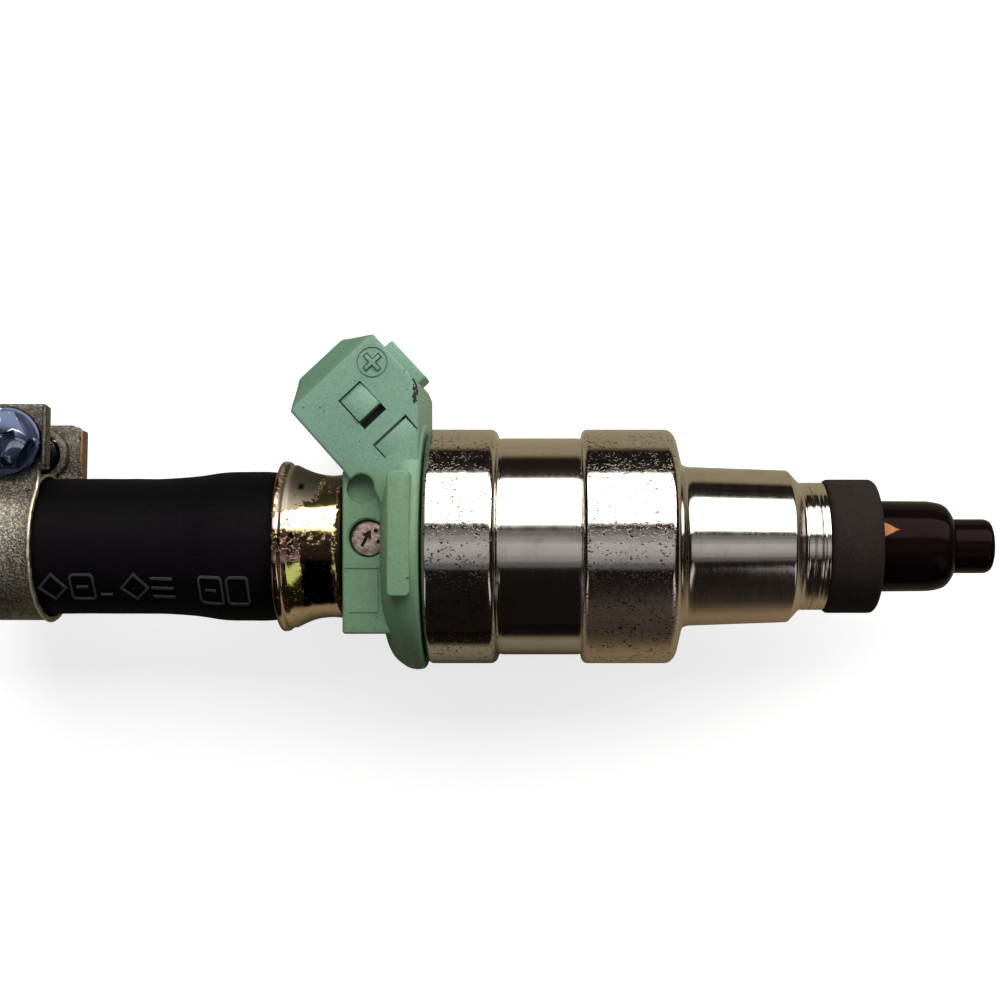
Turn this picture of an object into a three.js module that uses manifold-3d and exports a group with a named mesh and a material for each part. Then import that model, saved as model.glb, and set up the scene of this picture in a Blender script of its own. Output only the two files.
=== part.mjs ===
// Fuel injector with a crimped hose stub: a solenoid pintle injector for port injection, in millimetres.
// X runs along the injector's axis, from the open end of the hose to the nozzle tip. The electrical
// connector leans over toward +Y, and Z crosses its two terminals. Lengths along X are drawn from a
// point 1 mm inside the nozzle cap's collar, and the whole injector is moved at the end, so that the
// origin is on the axis in the front face of the rubber ring that seats in the manifold.
import * as THREE from 'three';
import { mergeVertices } from 'three/addons/utils/BufferGeometryUtils.js';
import Module from 'manifold-3d';

const wasm = await Module();
wasm.setup();

// Driving dimensions.
const FIT = 0.08; // radial play between coaxial pieces
const COARSE = 18; // facets round a small inner piece
const MEDIUM = 24; // facets round a middle-sized piece
const FINE = 36; // facets round the outer casings

const HOSE_END = -95.3; // the cut end of the hose
const HOSE_RADIUS = 6.98;
const HOSE_BORE = 3.75;
const HOSE_STRETCHED = 7.7; // where the barbs swell it
const TUBE_END = -71.9; // the inlet tube's mouth, inside the hose
const TUBE_RADIUS = 4.05;
const BARB_RADIUS = 4.85;
const FERRULE_FRONT = -54.95;
const FERRULE_WALL = 0.65;

const CLAMP_CENTRE = -88.9;
const CLAMP_TILT = THREE.MathUtils.degToRad(-4.5); // the screw leans this much about the hose
const BAND_HALF_WIDTH = 3.3;
const BAND_RADIUS = 7.1; // inside the band
const BAND_SHEET = 0.6;
const TONGUE_SHEET = 0.35;
const FRONT_EAR = 4.5; // the inner face of each ear, across the gap
const REAR_EAR = -5.4;
const FRONT_EAR_HALF_WIDTH = 4.15;
const REAR_EAR_HALF_WIDTH = 4.4;
const FRONT_EAR_TOP = 14.1;
const REAR_EAR_TOP = 13.2;
const SCREW_HEIGHT = 10.1; // the screw's axis, above the hose's axis
const SCREW_RADIUS = 1.95;
const SCREW_TAIL = -12.4;
const NUT_SIDE = 6.8;
const NUT_THICKNESS = 2.6;

const MOULD_BACK = -54.7; // the face that the ferrule meets
const MOULD_FRONT = -46.95; // the face against the casing
const MOULD_HALF_DEPTH = 8.2; // half of the square block, across Z
const FLANGE_RADIUS = 12.7;
const MARK_X = -52.2; // the small disc in the block's face
const MARK_Y = 0.9;
const MARK_RADIUS = 1.75;
const MARK_FLOOR = 6.6;
const SOCKET_TILT = THREE.MathUtils.degToRad(43); // turns Y onto the socket's axis
const SOCKET_MIDDLE = -29; // the socket's axis, across its thickness
const SOCKET_HALF_THICKNESS = 5.5;
const SOCKET_HALF_WIDTH = 9.3;
const SOCKET_MOUTH = 52.3; // along the socket's own axis, from the origin
const SOCKET_FLOOR = 41.5;
const CAVITY_HALF_THICKNESS = 3.75;
const CAVITY_HALF_WIDTH = 7.5;
const BLADE_SPACING = 5;
const BLADE_THICKNESS = 0.8;
const BLADE_HALF_WIDTH = 1.4;
const BLADE_TIP = 49.5;
const LEAD_HEIGHT = 7.1; // where each lead passes through the core's flange
const LEAD_HALF_WIDTH = 0.5;
const LEAD_END = -42.4;

const CASE_BACK = -46.7;
const CASE_FRONT = -6.3;
const RING_RADIUS = 12.05;
const WAIST_RADIUS = 11.15;
const COIL_SPACE = 10.2; // radius inside the casing
const COIL_FLOOR = -24.5;
const NECK_BORE = 5.9;

const CORE_FLANGE_BACK = -46.6;
const CORE_FLANGE_FRONT = -43.3;
const POLE_RADIUS = 4.1;
const POLE_FACE = -29;
const CORE_BORE = 2.2;
const LIFT = 0.15; // how far the needle opens

const SEAL_RADIUS = 6.9;
const SEAL_BACK = -6.2;
const SEAL_FRONT = -1;
const STEM_RADIUS = 4.2; // the nozzle body under the seal
const CAP_RADIUS = 4.7;
const CAP_BACK = -2.2; // the cap's sleeve reaches a little way into the seal
const CAP_TIP_RADIUS = 2.8;
const CAP_END = 11.1;

// A three.js geometry as a manifold solid, with only its positions kept.
function solid(geometry) {
  const bare = geometry.index ? geometry : geometry.clone();
  bare.deleteAttribute('normal');
  bare.deleteAttribute('uv');
  const merged = mergeVertices(bare, 1e-4);
  return new wasm.Manifold(new wasm.Mesh({
    numProp: 3,
    vertProperties: new Float32Array(merged.attributes.position.array),
    triVerts: new Uint32Array(merged.index.array),
  }));
}

// A manifold solid as a three.js geometry.
function geometryOf(body) {
  const mesh = body.getMesh();
  const geometry = new THREE.BufferGeometry();
  geometry.setAttribute('position', new THREE.BufferAttribute(mesh.vertProperties, 3));
  geometry.setIndex(new THREE.BufferAttribute(mesh.triVerts, 1));
  geometry.computeVertexNormals();
  return geometry;
}

// A solid turned about X from an outline of [x, radius] points. The outline runs with the material on
// its right, as seen with X to the right and the radius upward.
function turned(outline, facets = MEDIUM) {
  const points = outline.map(([x, radius]) => new THREE.Vector2(radius, x));
  const onAxis = outline[0][1] === 0 && outline[outline.length - 1][1] === 0;
  if (!onAxis) points.push(points[0].clone());
  return solid(new THREE.LatheGeometry(points, facets).rotateZ(-Math.PI / 2));
}

// A tube about X, between two places and two radii.
function tube(back, front, inner, outer, facets = MEDIUM) {
  return turned([[back, inner], [back, outer], [front, outer], [front, inner]], facets);
}

// A plain rod about X.
function rod(back, front, radius, facets = MEDIUM) {
  return turned([[back, 0], [back, radius], [front, radius], [front, 0]], facets);
}

// A rubber ring of round section about X.
function roundRing(centre, ringRadius, sectionRadius) {
  const sides = 10;
  const outline = [];
  for (let side = 0; side < sides; side += 1) {
    const angle = (-2 * Math.PI * side) / sides;
    outline.push([
      centre + sectionRadius * Math.cos(angle),
      ringRadius + sectionRadius * Math.sin(angle),
    ]);
  }
  return turned(outline, COARSE);
}

// A box between two corners.
function box(low, high) {
  const size = new THREE.Vector3(...high).sub(new THREE.Vector3(...low));
  const middle = new THREE.Vector3(...low).addScaledVector(size, 0.5);
  return solid(new THREE.BoxGeometry(...size).translate(...middle));
}

// A closed outline of [a, b] points.
function polygon(points) {
  return new THREE.Shape(points.map(([a, b]) => new THREE.Vector2(a, b)));
}

// A shape drawn in X and Y, made thick along Z.
function thickAlongZ(shape, low, high, curveSegments = 12) {
  const options = { depth: high - low, bevelEnabled: false, curveSegments };
  return solid(new THREE.ExtrudeGeometry(shape, options).translate(0, 0, low));
}

// A shape drawn in Y and Z, made thick along X.
function thickAlongX(shape, low, high, curveSegments = 12) {
  const options = { depth: high - low, bevelEnabled: false, curveSegments };
  const turn = new THREE.Matrix4().makeBasis(
    new THREE.Vector3(0, 1, 0),
    new THREE.Vector3(0, 0, 1),
    new THREE.Vector3(1, 0, 0),
  );
  return solid(new THREE.ExtrudeGeometry(shape, options).applyMatrix4(turn).translate(low, 0, 0));
}

// A round rod along Z.
function pinAlongZ(x, y, low, high, radius, facets = COARSE) {
  const pin = new THREE.CylinderGeometry(radius, radius, high - low, facets);
  return solid(pin.rotateX(Math.PI / 2).translate(x, y, (low + high) / 2));
}

// A place in the socket's own axes, across its thickness and along it, as [x, y].
function socketPoint(across, along) {
  const point = new THREE.Vector2(across, along).rotateAround(new THREE.Vector2(), SOCKET_TILT);
  return [point.x, point.y];
}

// A solid made in the socket's own axes, turned to where the socket is.
function inSocket(body) {
  return body.rotate([0, 0, THREE.MathUtils.radToDeg(SOCKET_TILT)]);
}

// A rectangle with rounded corners, centred on [x, y].
function roundedRectangle(x, y, halfWidth, halfHeight, corner) {
  const shape = new THREE.Shape();
  const left = x - halfWidth + corner;
  const right = x + halfWidth - corner;
  const low = y - halfHeight + corner;
  const high = y + halfHeight - corner;
  shape.absarc(right, low, corner, -Math.PI / 2, 0, false);
  shape.absarc(right, high, corner, 0, Math.PI / 2, false);
  shape.absarc(left, high, corner, Math.PI / 2, Math.PI, false);
  shape.absarc(left, low, corner, Math.PI, 1.5 * Math.PI, false);
  return shape;
}

// The hose, swollen over the barbs and squeezed by the ferrule.
function fuelHose() {
  const squeezed = BARB_RADIUS + FIT;
  return turned([
    [HOSE_END, HOSE_BORE],
    [HOSE_END, HOSE_RADIUS],
    [-73.2, HOSE_RADIUS],
    [-70.4, 7.2],
    [-67.8, HOSE_STRETCHED],
    [-62.8, HOSE_STRETCHED],
    [-61.2, 7.5],
    [-59.6, 6.95],
    [-57.9, 6.7],
    [FERRULE_FRONT - 2 * FERRULE_WALL, 6.5],
    [FERRULE_FRONT - 2 * FERRULE_WALL, squeezed],
    [-68, squeezed],
    [-72.6, HOSE_BORE],
  ], FINE);
}

// The crimped ferrule: a flared cup whose front turns inward round the tube.
function hoseFerrule() {
  return turned([
    [-61.7, 8.2],
    [-61.8, 8.5],
    [-61.5, 8.8],
    [-61.1, 8.75],
    [-60.7, 8.45],
    [-60.3, 8.4],
    [-59.5, 7.96],
    [-58.6, 7.62],
    [-57.5, 7.42],
    [-56.4, 7.32],
    [FERRULE_FRONT, 7.3],
    [FERRULE_FRONT, TUBE_RADIUS + FIT],
    [FERRULE_FRONT - FERRULE_WALL, TUBE_RADIUS + FIT],
    [FERRULE_FRONT - FERRULE_WALL, 6.65],
    [-57.5, 6.78],
    [-58.6, 6.98],
    [-59.5, 7.3],
    [-60.5, 7.7],
  ], FINE);
}

// The inlet tube and the fixed core of the solenoid, one piece of magnetic steel.
function inletCore() {
  const body = turned([
    [TUBE_END, 2.9],
    [TUBE_END, 3.55],
    [-67.6, BARB_RADIUS],
    [-67.3, TUBE_RADIUS],
    [-66.2, TUBE_RADIUS],
    [-63.2, BARB_RADIUS],
    [-62.9, TUBE_RADIUS],
    [CORE_FLANGE_BACK, TUBE_RADIUS],
    [CORE_FLANGE_BACK, 9.3],
    [-45.5, 9.3],
    [-45.5, COIL_SPACE - FIT],
    [CORE_FLANGE_FRONT, COIL_SPACE - FIT],
    [CORE_FLANGE_FRONT, POLE_RADIUS],
    [POLE_FACE, POLE_RADIUS],
    [POLE_FACE, CORE_BORE],
    [-62.4, CORE_BORE],
    [-62.9, 2.9],
  ]);
  return leadSides().reduce((core, z) => core.subtract(leadHole(z)), body);
}

// The two terminals, one each side of the middle.
function leadSides() {
  return [-BLADE_SPACING / 2, BLADE_SPACING / 2];
}

// The hole that lets one lead through the core's flange.
function leadHole(z) {
  const across = LEAD_HALF_WIDTH + 0.35;
  const through = BLADE_THICKNESS / 2 + 0.35;
  return box(
    [CORE_FLANGE_BACK - 1, LEAD_HEIGHT - across, z - through],
    [CORE_FLANGE_FRONT + 1, LEAD_HEIGHT + across, z + through],
  );
}

// One terminal's outline in X and Y: a narrow lead to the coil and a wide blade in the socket.
function terminalOutline(play) {
  const lowLead = LEAD_HEIGHT - LEAD_HALF_WIDTH - play;
  const highLead = LEAD_HEIGHT + LEAD_HALF_WIDTH + play;
  const half = BLADE_HALF_WIDTH + play;
  const base = SOCKET_FLOOR - 1;
  const tip = BLADE_TIP + play;
  return polygon([
    [LEAD_END, lowLead],
    [LEAD_END, highLead],
    [-48.1 + play, highLead],
    socketPoint(SOCKET_MIDDLE + half, base),
    socketPoint(SOCKET_MIDDLE + half, tip - 0.8),
    socketPoint(SOCKET_MIDDLE + half - 0.5, tip),
    socketPoint(SOCKET_MIDDLE - half + 0.5, tip),
    socketPoint(SOCKET_MIDDLE - half, tip - 0.8),
    socketPoint(SOCKET_MIDDLE - half, base),
    [-49.4 - play, lowLead],
  ]);
}

// One terminal, or with some play, the slot that it lies in.
function terminal(z, play) {
  const half = BLADE_THICKNESS / 2 + play;
  return thickAlongZ(terminalOutline(play), z - half, z + half);
}

// The shroud round the two blades, chamfered at its mouth.
function socketShroud() {
  const chamfer = 1.1;
  const run = 1.7;
  const base = 45.5;
  const shape = roundedRectangle(
    SOCKET_MIDDLE,
    0,
    SOCKET_HALF_THICKNESS,
    SOCKET_HALF_WIDTH,
    1.3,
  );
  const geometry = new THREE.ExtrudeGeometry(shape, {
    depth: SOCKET_MOUTH - base - 2 * run,
    bevelSize: chamfer,
    bevelOffset: -chamfer,
    bevelThickness: run,
    bevelSegments: 1,
    curveSegments: 3,
  });
  return solid(geometry.rotateX(Math.PI / 2).translate(0, SOCKET_MOUTH - run, 0));
}

// The space inside the shroud.
function socketCavity() {
  const past = 2;
  const shape = roundedRectangle(
    SOCKET_MIDDLE,
    0,
    CAVITY_HALF_THICKNESS,
    CAVITY_HALF_WIDTH,
    0.8,
  );
  const options = { depth: SOCKET_MOUTH + past - SOCKET_FLOOR, bevelEnabled: false, curveSegments: 3 };
  const geometry = new THREE.ExtrudeGeometry(shape, options);
  return solid(geometry.rotateX(Math.PI / 2).translate(0, SOCKET_MOUTH + past, 0));
}

// The root of the connector: it joins the leaning shroud to the block and the flange.
function connectorRoot() {
  const along = 50;
  const outline = polygon([
    socketPoint(SOCKET_MIDDLE - SOCKET_HALF_THICKNESS, along),
    [-54.6, 7.6],
    [-53.6, 6.9],
    [-51.65, 6.5],
    [-51.6, 5.3],
    [-50.6, 3.5],
    [MOULD_FRONT - 0.2, 2],
    [MOULD_FRONT - 0.2, 15.6],
    socketPoint(SOCKET_MIDDLE + SOCKET_HALF_THICKNESS, 44.4),
    socketPoint(SOCKET_MIDDLE + SOCKET_HALF_THICKNESS, along),
  ]);
  return thickAlongZ(outline, -SOCKET_HALF_WIDTH, SOCKET_HALF_WIDTH);
}

// A ramp on each side of the shroud that a plug's wire clip snaps over.
function latchLug(side) {
  const rise = SOCKET_HALF_WIDTH + 1;
  const outline = polygon([
    [47.6, side * (SOCKET_HALF_WIDTH - 0.5)],
    [47.6, side * SOCKET_HALF_WIDTH],
    [46.2, side * rise],
    [44.6, side * rise],
    [44.6, side * (SOCKET_HALF_WIDTH - 0.5)],
  ]);
  return thickAlongX(outline, SOCKET_MIDDLE - 1.3, SOCKET_MIDDLE + 1.3);
}

// The moulding's round flange, against the casing.
function mouldFlange() {
  return turned([
    [-50.9, 0],
    [-50.9, 9.8],
    [-50.4, 10.9],
    [-49.5, 12.0],
    [-48.6, 12.55],
    [-47.9, FLANGE_RADIUS],
    [-47.3, 12.6],
    [MOULD_FRONT, 12.35],
    [MOULD_FRONT, 0],
  ], FINE);
}

// A raised bar across each side of the flange, with its lower corners rounded.
function flangeBars() {
  const shape = roundedRectangle(-48.8, 1.4, 1.1, 6, 0.6);
  const reach = 12.8;
  return thickAlongZ(shape, -reach, reach, 3);
}

// The green moulding that carries the terminals and grips the inlet tube.
function connectorMoulding() {
  const block = box(
    [MOULD_BACK, -8.5, -MOULD_HALF_DEPTH],
    [MOULD_FRONT - 1, 7.6, MOULD_HALF_DEPTH],
  );
  const key = box([SOCKET_MIDDLE + 5, 43.4, -3], [SOCKET_MIDDLE + 6.5, 49.7, 3]);
  const shroud = socketShroud().add(key).add(latchLug(1)).add(latchLug(-1));
  const window = pinAlongZ(MARK_X, MARK_Y, MARK_FLOOR, MOULD_HALF_DEPTH + 1, MARK_RADIUS + 0.15);
  let body = block.add(mouldFlange()).add(flangeBars()).add(connectorRoot());
  body = body.add(inSocket(shroud)).subtract(inSocket(socketCavity()));
  body = body.subtract(rod(MOULD_BACK - 1, MOULD_FRONT + 1, TUBE_RADIUS + FIT)).subtract(window);
  return leadSides().reduce((rest, z) => rest.subtract(terminal(z, 0.12)), body);
}

// The small metal disc let into the block.
function markingDisc() {
  return pinAlongZ(MARK_X, MARK_Y, MARK_FLOOR + FIT, MARK_FLOOR + 0.7, MARK_RADIUS);
}

// The clamp's strip as one outline across the hose: ear, band, ear, and the tongue that closes the gap.
function bandOutline() {
  const outer = BAND_RADIUS + BAND_SHEET;
  const tongue = BAND_RADIUS + TONGUE_SHEET;
  const frontOuter = Math.asin((FRONT_EAR + BAND_SHEET) / outer);
  const rearOuter = Math.asin((REAR_EAR - BAND_SHEET) / outer);
  const rearInner = Math.asin(REAR_EAR / BAND_RADIUS);
  const frontTongue = Math.asin(FRONT_EAR / tongue);
  const tongueEnd = THREE.MathUtils.degToRad(-36);
  const shape = new THREE.Shape();
  shape.moveTo(FRONT_EAR_TOP, FRONT_EAR);
  shape.lineTo(FRONT_EAR_TOP, FRONT_EAR + BAND_SHEET);
  shape.absarc(0, 0, outer, frontOuter, 2 * Math.PI + rearOuter, false);
  shape.lineTo(REAR_EAR_TOP, REAR_EAR - BAND_SHEET);
  shape.lineTo(REAR_EAR_TOP, REAR_EAR);
  shape.absarc(0, 0, BAND_RADIUS, 2 * Math.PI + rearInner, tongueEnd, true);
  shape.absarc(0, 0, tongue, tongueEnd, frontTongue, false);
  shape.closePath();
  return shape;
}

// One ear, wider than the band, with its side edges folded away from the gap.
function clampEar(inner, top, halfWidth, fold) {
  const root = 8.2;
  const lipSheet = 0.42;
  const outer = inner + Math.sign(fold) * BAND_SHEET;
  const edge = halfWidth - lipSheet;
  const plate = [Math.min(inner, outer), Math.max(inner, outer)];
  const lip = [Math.min(inner, inner + fold), Math.max(inner, inner + fold)];
  return box([-halfWidth, root, plate[0]], [halfWidth, top, plate[1]])
    .add(box([-halfWidth, root, lip[0]], [-edge, top, lip[1]]))
    .add(box([edge, root, lip[0]], [halfWidth, top, lip[1]]));
}

// The clamp's band with its two ears, drilled for the screw.
function clampBand() {
  const hole = pinAlongZ(0, SCREW_HEIGHT, REAR_EAR - 1, FRONT_EAR + 1, SCREW_RADIUS + 0.3);
  return thickAlongX(bandOutline(), -BAND_HALF_WIDTH, BAND_HALF_WIDTH, 32)
    .add(clampEar(FRONT_EAR, FRONT_EAR_TOP, FRONT_EAR_HALF_WIDTH, 1.6))
    .add(clampEar(REAR_EAR, REAR_EAR_TOP, REAR_EAR_HALF_WIDTH, -2))
    .subtract(hole);
}

// The clamp's screw: a flanged hexagon head with a cross recess, and a plain shank.
function clampScrew() {
  const seat = FRONT_EAR + BAND_SHEET + FIT;
  const collar = 0.9;
  const top = seat + 3.4;
  const hexRadius = 3.05;
  const recess = 1.4;
  const slotHalf = 0.4;
  const slotReach = 1.9;
  const cross = box([-slotReach, -slotHalf, top - recess], [slotReach, slotHalf, top + 1])
    .add(box([-slotHalf, -slotReach, top - recess], [slotHalf, slotReach, top + 1]));
  return pinAlongZ(0, 0, SCREW_TAIL, seat + collar / 2, SCREW_RADIUS)
    .add(pinAlongZ(0, 0, seat, seat + collar, 3.65, MEDIUM))
    .add(pinAlongZ(0, 0, seat + collar / 2, top, hexRadius, 6))
    .subtract(cross);
}

// The square nut behind the rear ear, held from turning by the folded edges.
function clampNut() {
  const face = REAR_EAR - BAND_SHEET - FIT;
  const half = NUT_SIDE / 2;
  return box([-half, -half, face - NUT_THICKNESS], [half, half, face])
    .subtract(pinAlongZ(0, 0, face - NUT_THICKNESS - 1, face + 1, SCREW_RADIUS + 0.1));
}

// The basket filter pressed into the inlet tube's mouth.
function inletFilter() {
  return turned([
    [-71.5, 2.45],
    [-71.5, 2.8],
    [-63.3, 2.8],
    [-63.3, 0],
    [-63.8, 0],
    [-63.8, 2.45],
  ], COARSE);
}

// The split tube that sets the return spring's load.
function adjustingTube() {
  return tube(-44, -35.5, 1.3, CORE_BORE - FIT, COARSE);
}

// The return spring, between the adjusting tube and the armature.
class SpringPath extends THREE.Curve {
  getPoint(t, target = new THREE.Vector3()) {
    const turns = 6;
    const radius = 1.55;
    const back = -35.05;
    const front = -25.95;
    const angle = 2 * Math.PI * turns * t;
    return target.set(back + (front - back) * t, radius * Math.cos(angle), radius * Math.sin(angle));
  }
}

function returnSpring() {
  const wire = polygon([0, 1, 2, 3, 4, 5].map((side) => {
    const angle = (Math.PI * side) / 3;
    return [0.3 * Math.cos(angle), 0.3 * Math.sin(angle)];
  }));
  const options = { steps: 84, bevelEnabled: false, extrudePath: new SpringPath() };
  return solid(new THREE.ExtrudeGeometry(wire, options));
}

// The coil's bobbin, recessed at both ends for its seals and at the back for the leads.
function coilBobbin() {
  const sealRecess = 5.85;
  const clear = 4.6;
  const flange = 9.9;
  const body = turned([
    [-43.1, sealRecess],
    [-43.1, flange],
    [-41, flange],
    [-41, 5.4],
    [-27, 5.4],
    [-27, flange],
    [COIL_FLOOR - 0.15, flange],
    [COIL_FLOOR - 0.15, sealRecess],
    [-26.4, sealRecess],
    [-26.4, clear],
    [-41.4, clear],
    [-41.4, sealRecess],
  ]);
  const across = LEAD_HALF_WIDTH + 0.2;
  const half = BLADE_THICKNESS / 2 + 0.2;
  return leadSides().reduce((rest, z) => rest.subtract(box(
    [-44, LEAD_HEIGHT - across, z - half],
    [LEAD_END + 0.2, LEAD_HEIGHT + across, z + half],
  )), body);
}

// The copper winding on the bobbin.
function coilWinding() {
  return tube(-40.85, -27.15, 5.55, 9.4);
}

// The plated casing: two rings with a waist between them, and the neck that holds the nozzle.
function steelHousing() {
  return turned([
    [CASE_BACK, 9.4],
    [CASE_BACK, 11.7],
    [-46.35, RING_RADIUS],
    [-40.1, RING_RADIUS],
    [-39.7, 11.85],
    [-39.3, WAIST_RADIUS],
    [-31.3, WAIST_RADIUS],
    [-31.0, 11.8],
    [-30.6, RING_RADIUS],
    [-22.6, RING_RADIUS],
    [-21.9, 11.75],
    [-21.5, 11.1],
    [-21.3, 10.2],
    [-20.95, 8.9],
    [-20.4, 8.35],
    [-19.4, 8.15],
    [-9.9, 7.84],
    [-8.85, 6.75],
    [-8.5, 6.6],
    [CASE_FRONT, 6.6],
    [CASE_FRONT, STEM_RADIUS + 0.3],
    [-8.6, STEM_RADIUS + 0.3],
    [-8.6, NECK_BORE],
    [-19.9, NECK_BORE],
    [-19.9, 4.5],
    [COIL_FLOOR, 4.5],
    [COIL_FLOOR, COIL_SPACE],
    [-45.6, COIL_SPACE],
    [-45.6, 9.4],
  ], FINE);
}

// The armature: a soft steel plunger, pocketed for the spring and cross-drilled for the fuel.
function armature() {
  const body = turned([
    [POLE_FACE + LIFT, 2.15],
    [POLE_FACE + LIFT, POLE_RADIUS],
    [-21, POLE_RADIUS],
    [-21, 1.7],
    [-24, 1.7],
    [-24, 1],
    [-25.5, 1],
    [-25.5, 2.15],
  ]);
  return body.subtract(pinAlongZ(-24.75, 0, -5, 5, 0.6, 8));
}

// The valve needle, with its stop collar, two guides, its cone and the pintle.
function valveNeedle() {
  const guide = 1.92;
  return turned([
    [-23.9, 0],
    [-23.9, 1.6],
    [-18.2, 1.6],
    [-18.2, 2.6],
    [-17.2, 2.6],
    [-17.2, 1.4],
    [-14, 1.4],
    [-14, guide],
    [-11.5, guide],
    [-11.5, 1.3],
    [-1.5, 1.3],
    [-1.5, guide],
    [1.5, guide],
    [1.5, 1.3],
    [4, 1.3],
    [4.9, 0.4],
    [7.2, 0.4],
    [8, 0.6],
    [8, 0],
  ], COARSE);
}

// The slotted plate that stops the needle's collar.
function stopPlate() {
  const slot = 1.8;
  const plate = tube(-19.8, -18.4, slot, NECK_BORE - FIT, MEDIUM);
  return plate.subtract(box([-21, 0, -slot], [-17, 7, slot]));
}

// The nozzle body: guide bore, seat and spray hole, with a groove for its seal.
function nozzleBody() {
  const bore = 2;
  const outer = NECK_BORE - FIT;
  return turned([
    [-18.3, 3],
    [-18.3, outer],
    [-14.6, outer],
    [-14.6, 4.9],
    [-12.4, 4.9],
    [-12.4, outer],
    [-8.8, outer],
    [-8.8, STEM_RADIUS],
    [CAP_BACK - FIT, STEM_RADIUS],
    [CAP_BACK - FIT, 3.6],
    [5.6, 3.6],
    [5.6, 0.65],
    [4.85, 0.65],
    [3.6, bore],
    [-15.6, bore],
    [-15.6, 3],
  ]);
}

// The rubber ring that seals and cushions the injector in the manifold.
function manifoldSeal() {
  return turned([
    [SEAL_BACK, STEM_RADIUS + FIT],
    [SEAL_BACK, SEAL_RADIUS - 0.3],
    [SEAL_BACK + 0.3, SEAL_RADIUS],
    [SEAL_FRONT - 0.4, SEAL_RADIUS],
    [SEAL_FRONT, SEAL_RADIUS - 0.4],
    [SEAL_FRONT, CAP_RADIUS + FIT],
    [CAP_BACK - FIT, CAP_RADIUS + FIT],
    [CAP_BACK - FIT, STEM_RADIUS + FIT],
  ], FINE);
}

// The plastic cap over the nozzle, with the chimney that shields the pintle.
function pintleCap() {
  return turned([
    [CAP_BACK, 3.68],
    [CAP_BACK, CAP_RADIUS],
    [4.9, CAP_RADIUS],
    [6.0, 4.35],
    [6.75, 3.55],
    [7.0, CAP_TIP_RADIUS],
    [CAP_END - 0.45, CAP_TIP_RADIUS],
    [CAP_END, 2.4],
    [CAP_END, 1.6],
    [5.9, 1.6],
    [5.9, 3.68],
  ]);
}

// A named mesh with its own material.
function part(name, body, colour, roughness, metalness) {
  const material = new THREE.MeshStandardMaterial({ color: colour, roughness, metalness });
  const mesh = new THREE.Mesh(geometryOf(body), material);
  mesh.name = name;
  return mesh;
}

// The worm-less screw clamp, leaning a little about the hose.
function hoseClamp() {
  const clamp = new THREE.Group();
  clamp.position.set(CLAMP_CENTRE, 0, 0);
  clamp.rotation.x = CLAMP_TILT;
  clamp.add(part('clamp_band', clampBand(), 0x9a9a94, 0.45, 1));
  const fastener = new THREE.Group();
  fastener.position.set(0, SCREW_HEIGHT, 0);
  fastener.add(part('clamp_screw', clampScrew(), 0xb4bac0, 0.3, 1));
  fastener.add(part('clamp_nut', clampNut(), 0x8f8f8a, 0.45, 1));
  clamp.add(fastener);
  return clamp;
}

const injector = new THREE.Group();
injector.position.x = -SEAL_FRONT;
injector.add(part('fuel_hose', fuelHose(), 0x141416, 0.75, 0));
injector.add(hoseClamp());
injector.add(part('hose_ferrule', hoseFerrule(), 0xa8945a, 0.3, 1));
injector.add(part('inlet_core', inletCore(), 0x8c8c8c, 0.4, 1));
injector.add(part('inlet_filter', inletFilter(), 0xd8d2c0, 0.6, 0));
injector.add(part('adjusting_tube', adjustingTube(), 0x9c9c98, 0.4, 1));
injector.add(part('return_spring', returnSpring(), 0x7c7c80, 0.35, 1));
injector.add(part('connector_moulding', connectorMoulding(), 0x78a58c, 0.55, 0));
injector.add(part('marking_disc', markingDisc(), 0x6b5448, 0.5, 1));
injector.add(part('terminal_rear', terminal(leadSides()[0], 0), 0xb8a878, 0.35, 1));
injector.add(part('terminal_front', terminal(leadSides()[1], 0), 0xb8a878, 0.35, 1));
injector.add(part('coil_bobbin', coilBobbin(), 0x2a2a2c, 0.6, 0));
injector.add(part('coil_winding', coilWinding(), 0xa4582c, 0.4, 1));
injector.add(part('bobbin_seal_back', roundRing(-42.25, 5, 0.72), 0x1c1c1c, 0.8, 0));
injector.add(part('bobbin_seal_front', roundRing(-25.5, 5.08, 0.68), 0x1c1c1c, 0.8, 0));
injector.add(part('steel_housing', steelHousing(), 0xb4aca0, 0.3, 1));
injector.add(part('stop_plate', stopPlate(), 0x90908c, 0.4, 1));
injector.add(part('armature', armature(), 0x8a8a88, 0.4, 1));
injector.add(part('valve_needle', valveNeedle(), 0xa8a8a8, 0.25, 1));
injector.add(part('nozzle_body', nozzleBody(), 0x9a9a98, 0.35, 1));
injector.add(part('nozzle_seal', roundRing(-13.5, 5.36, 0.42), 0x1c1c1c, 0.8, 0));
injector.add(part('manifold_seal', manifoldSeal(), 0x3a3836, 0.9, 0));
injector.add(part('pintle_cap', pintleCap(), 0x1a0e0a, 0.2, 0));

export default injector;
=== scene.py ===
import math

import bmesh
import bpy
from mathutils import Matrix, Vector, noise


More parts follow.
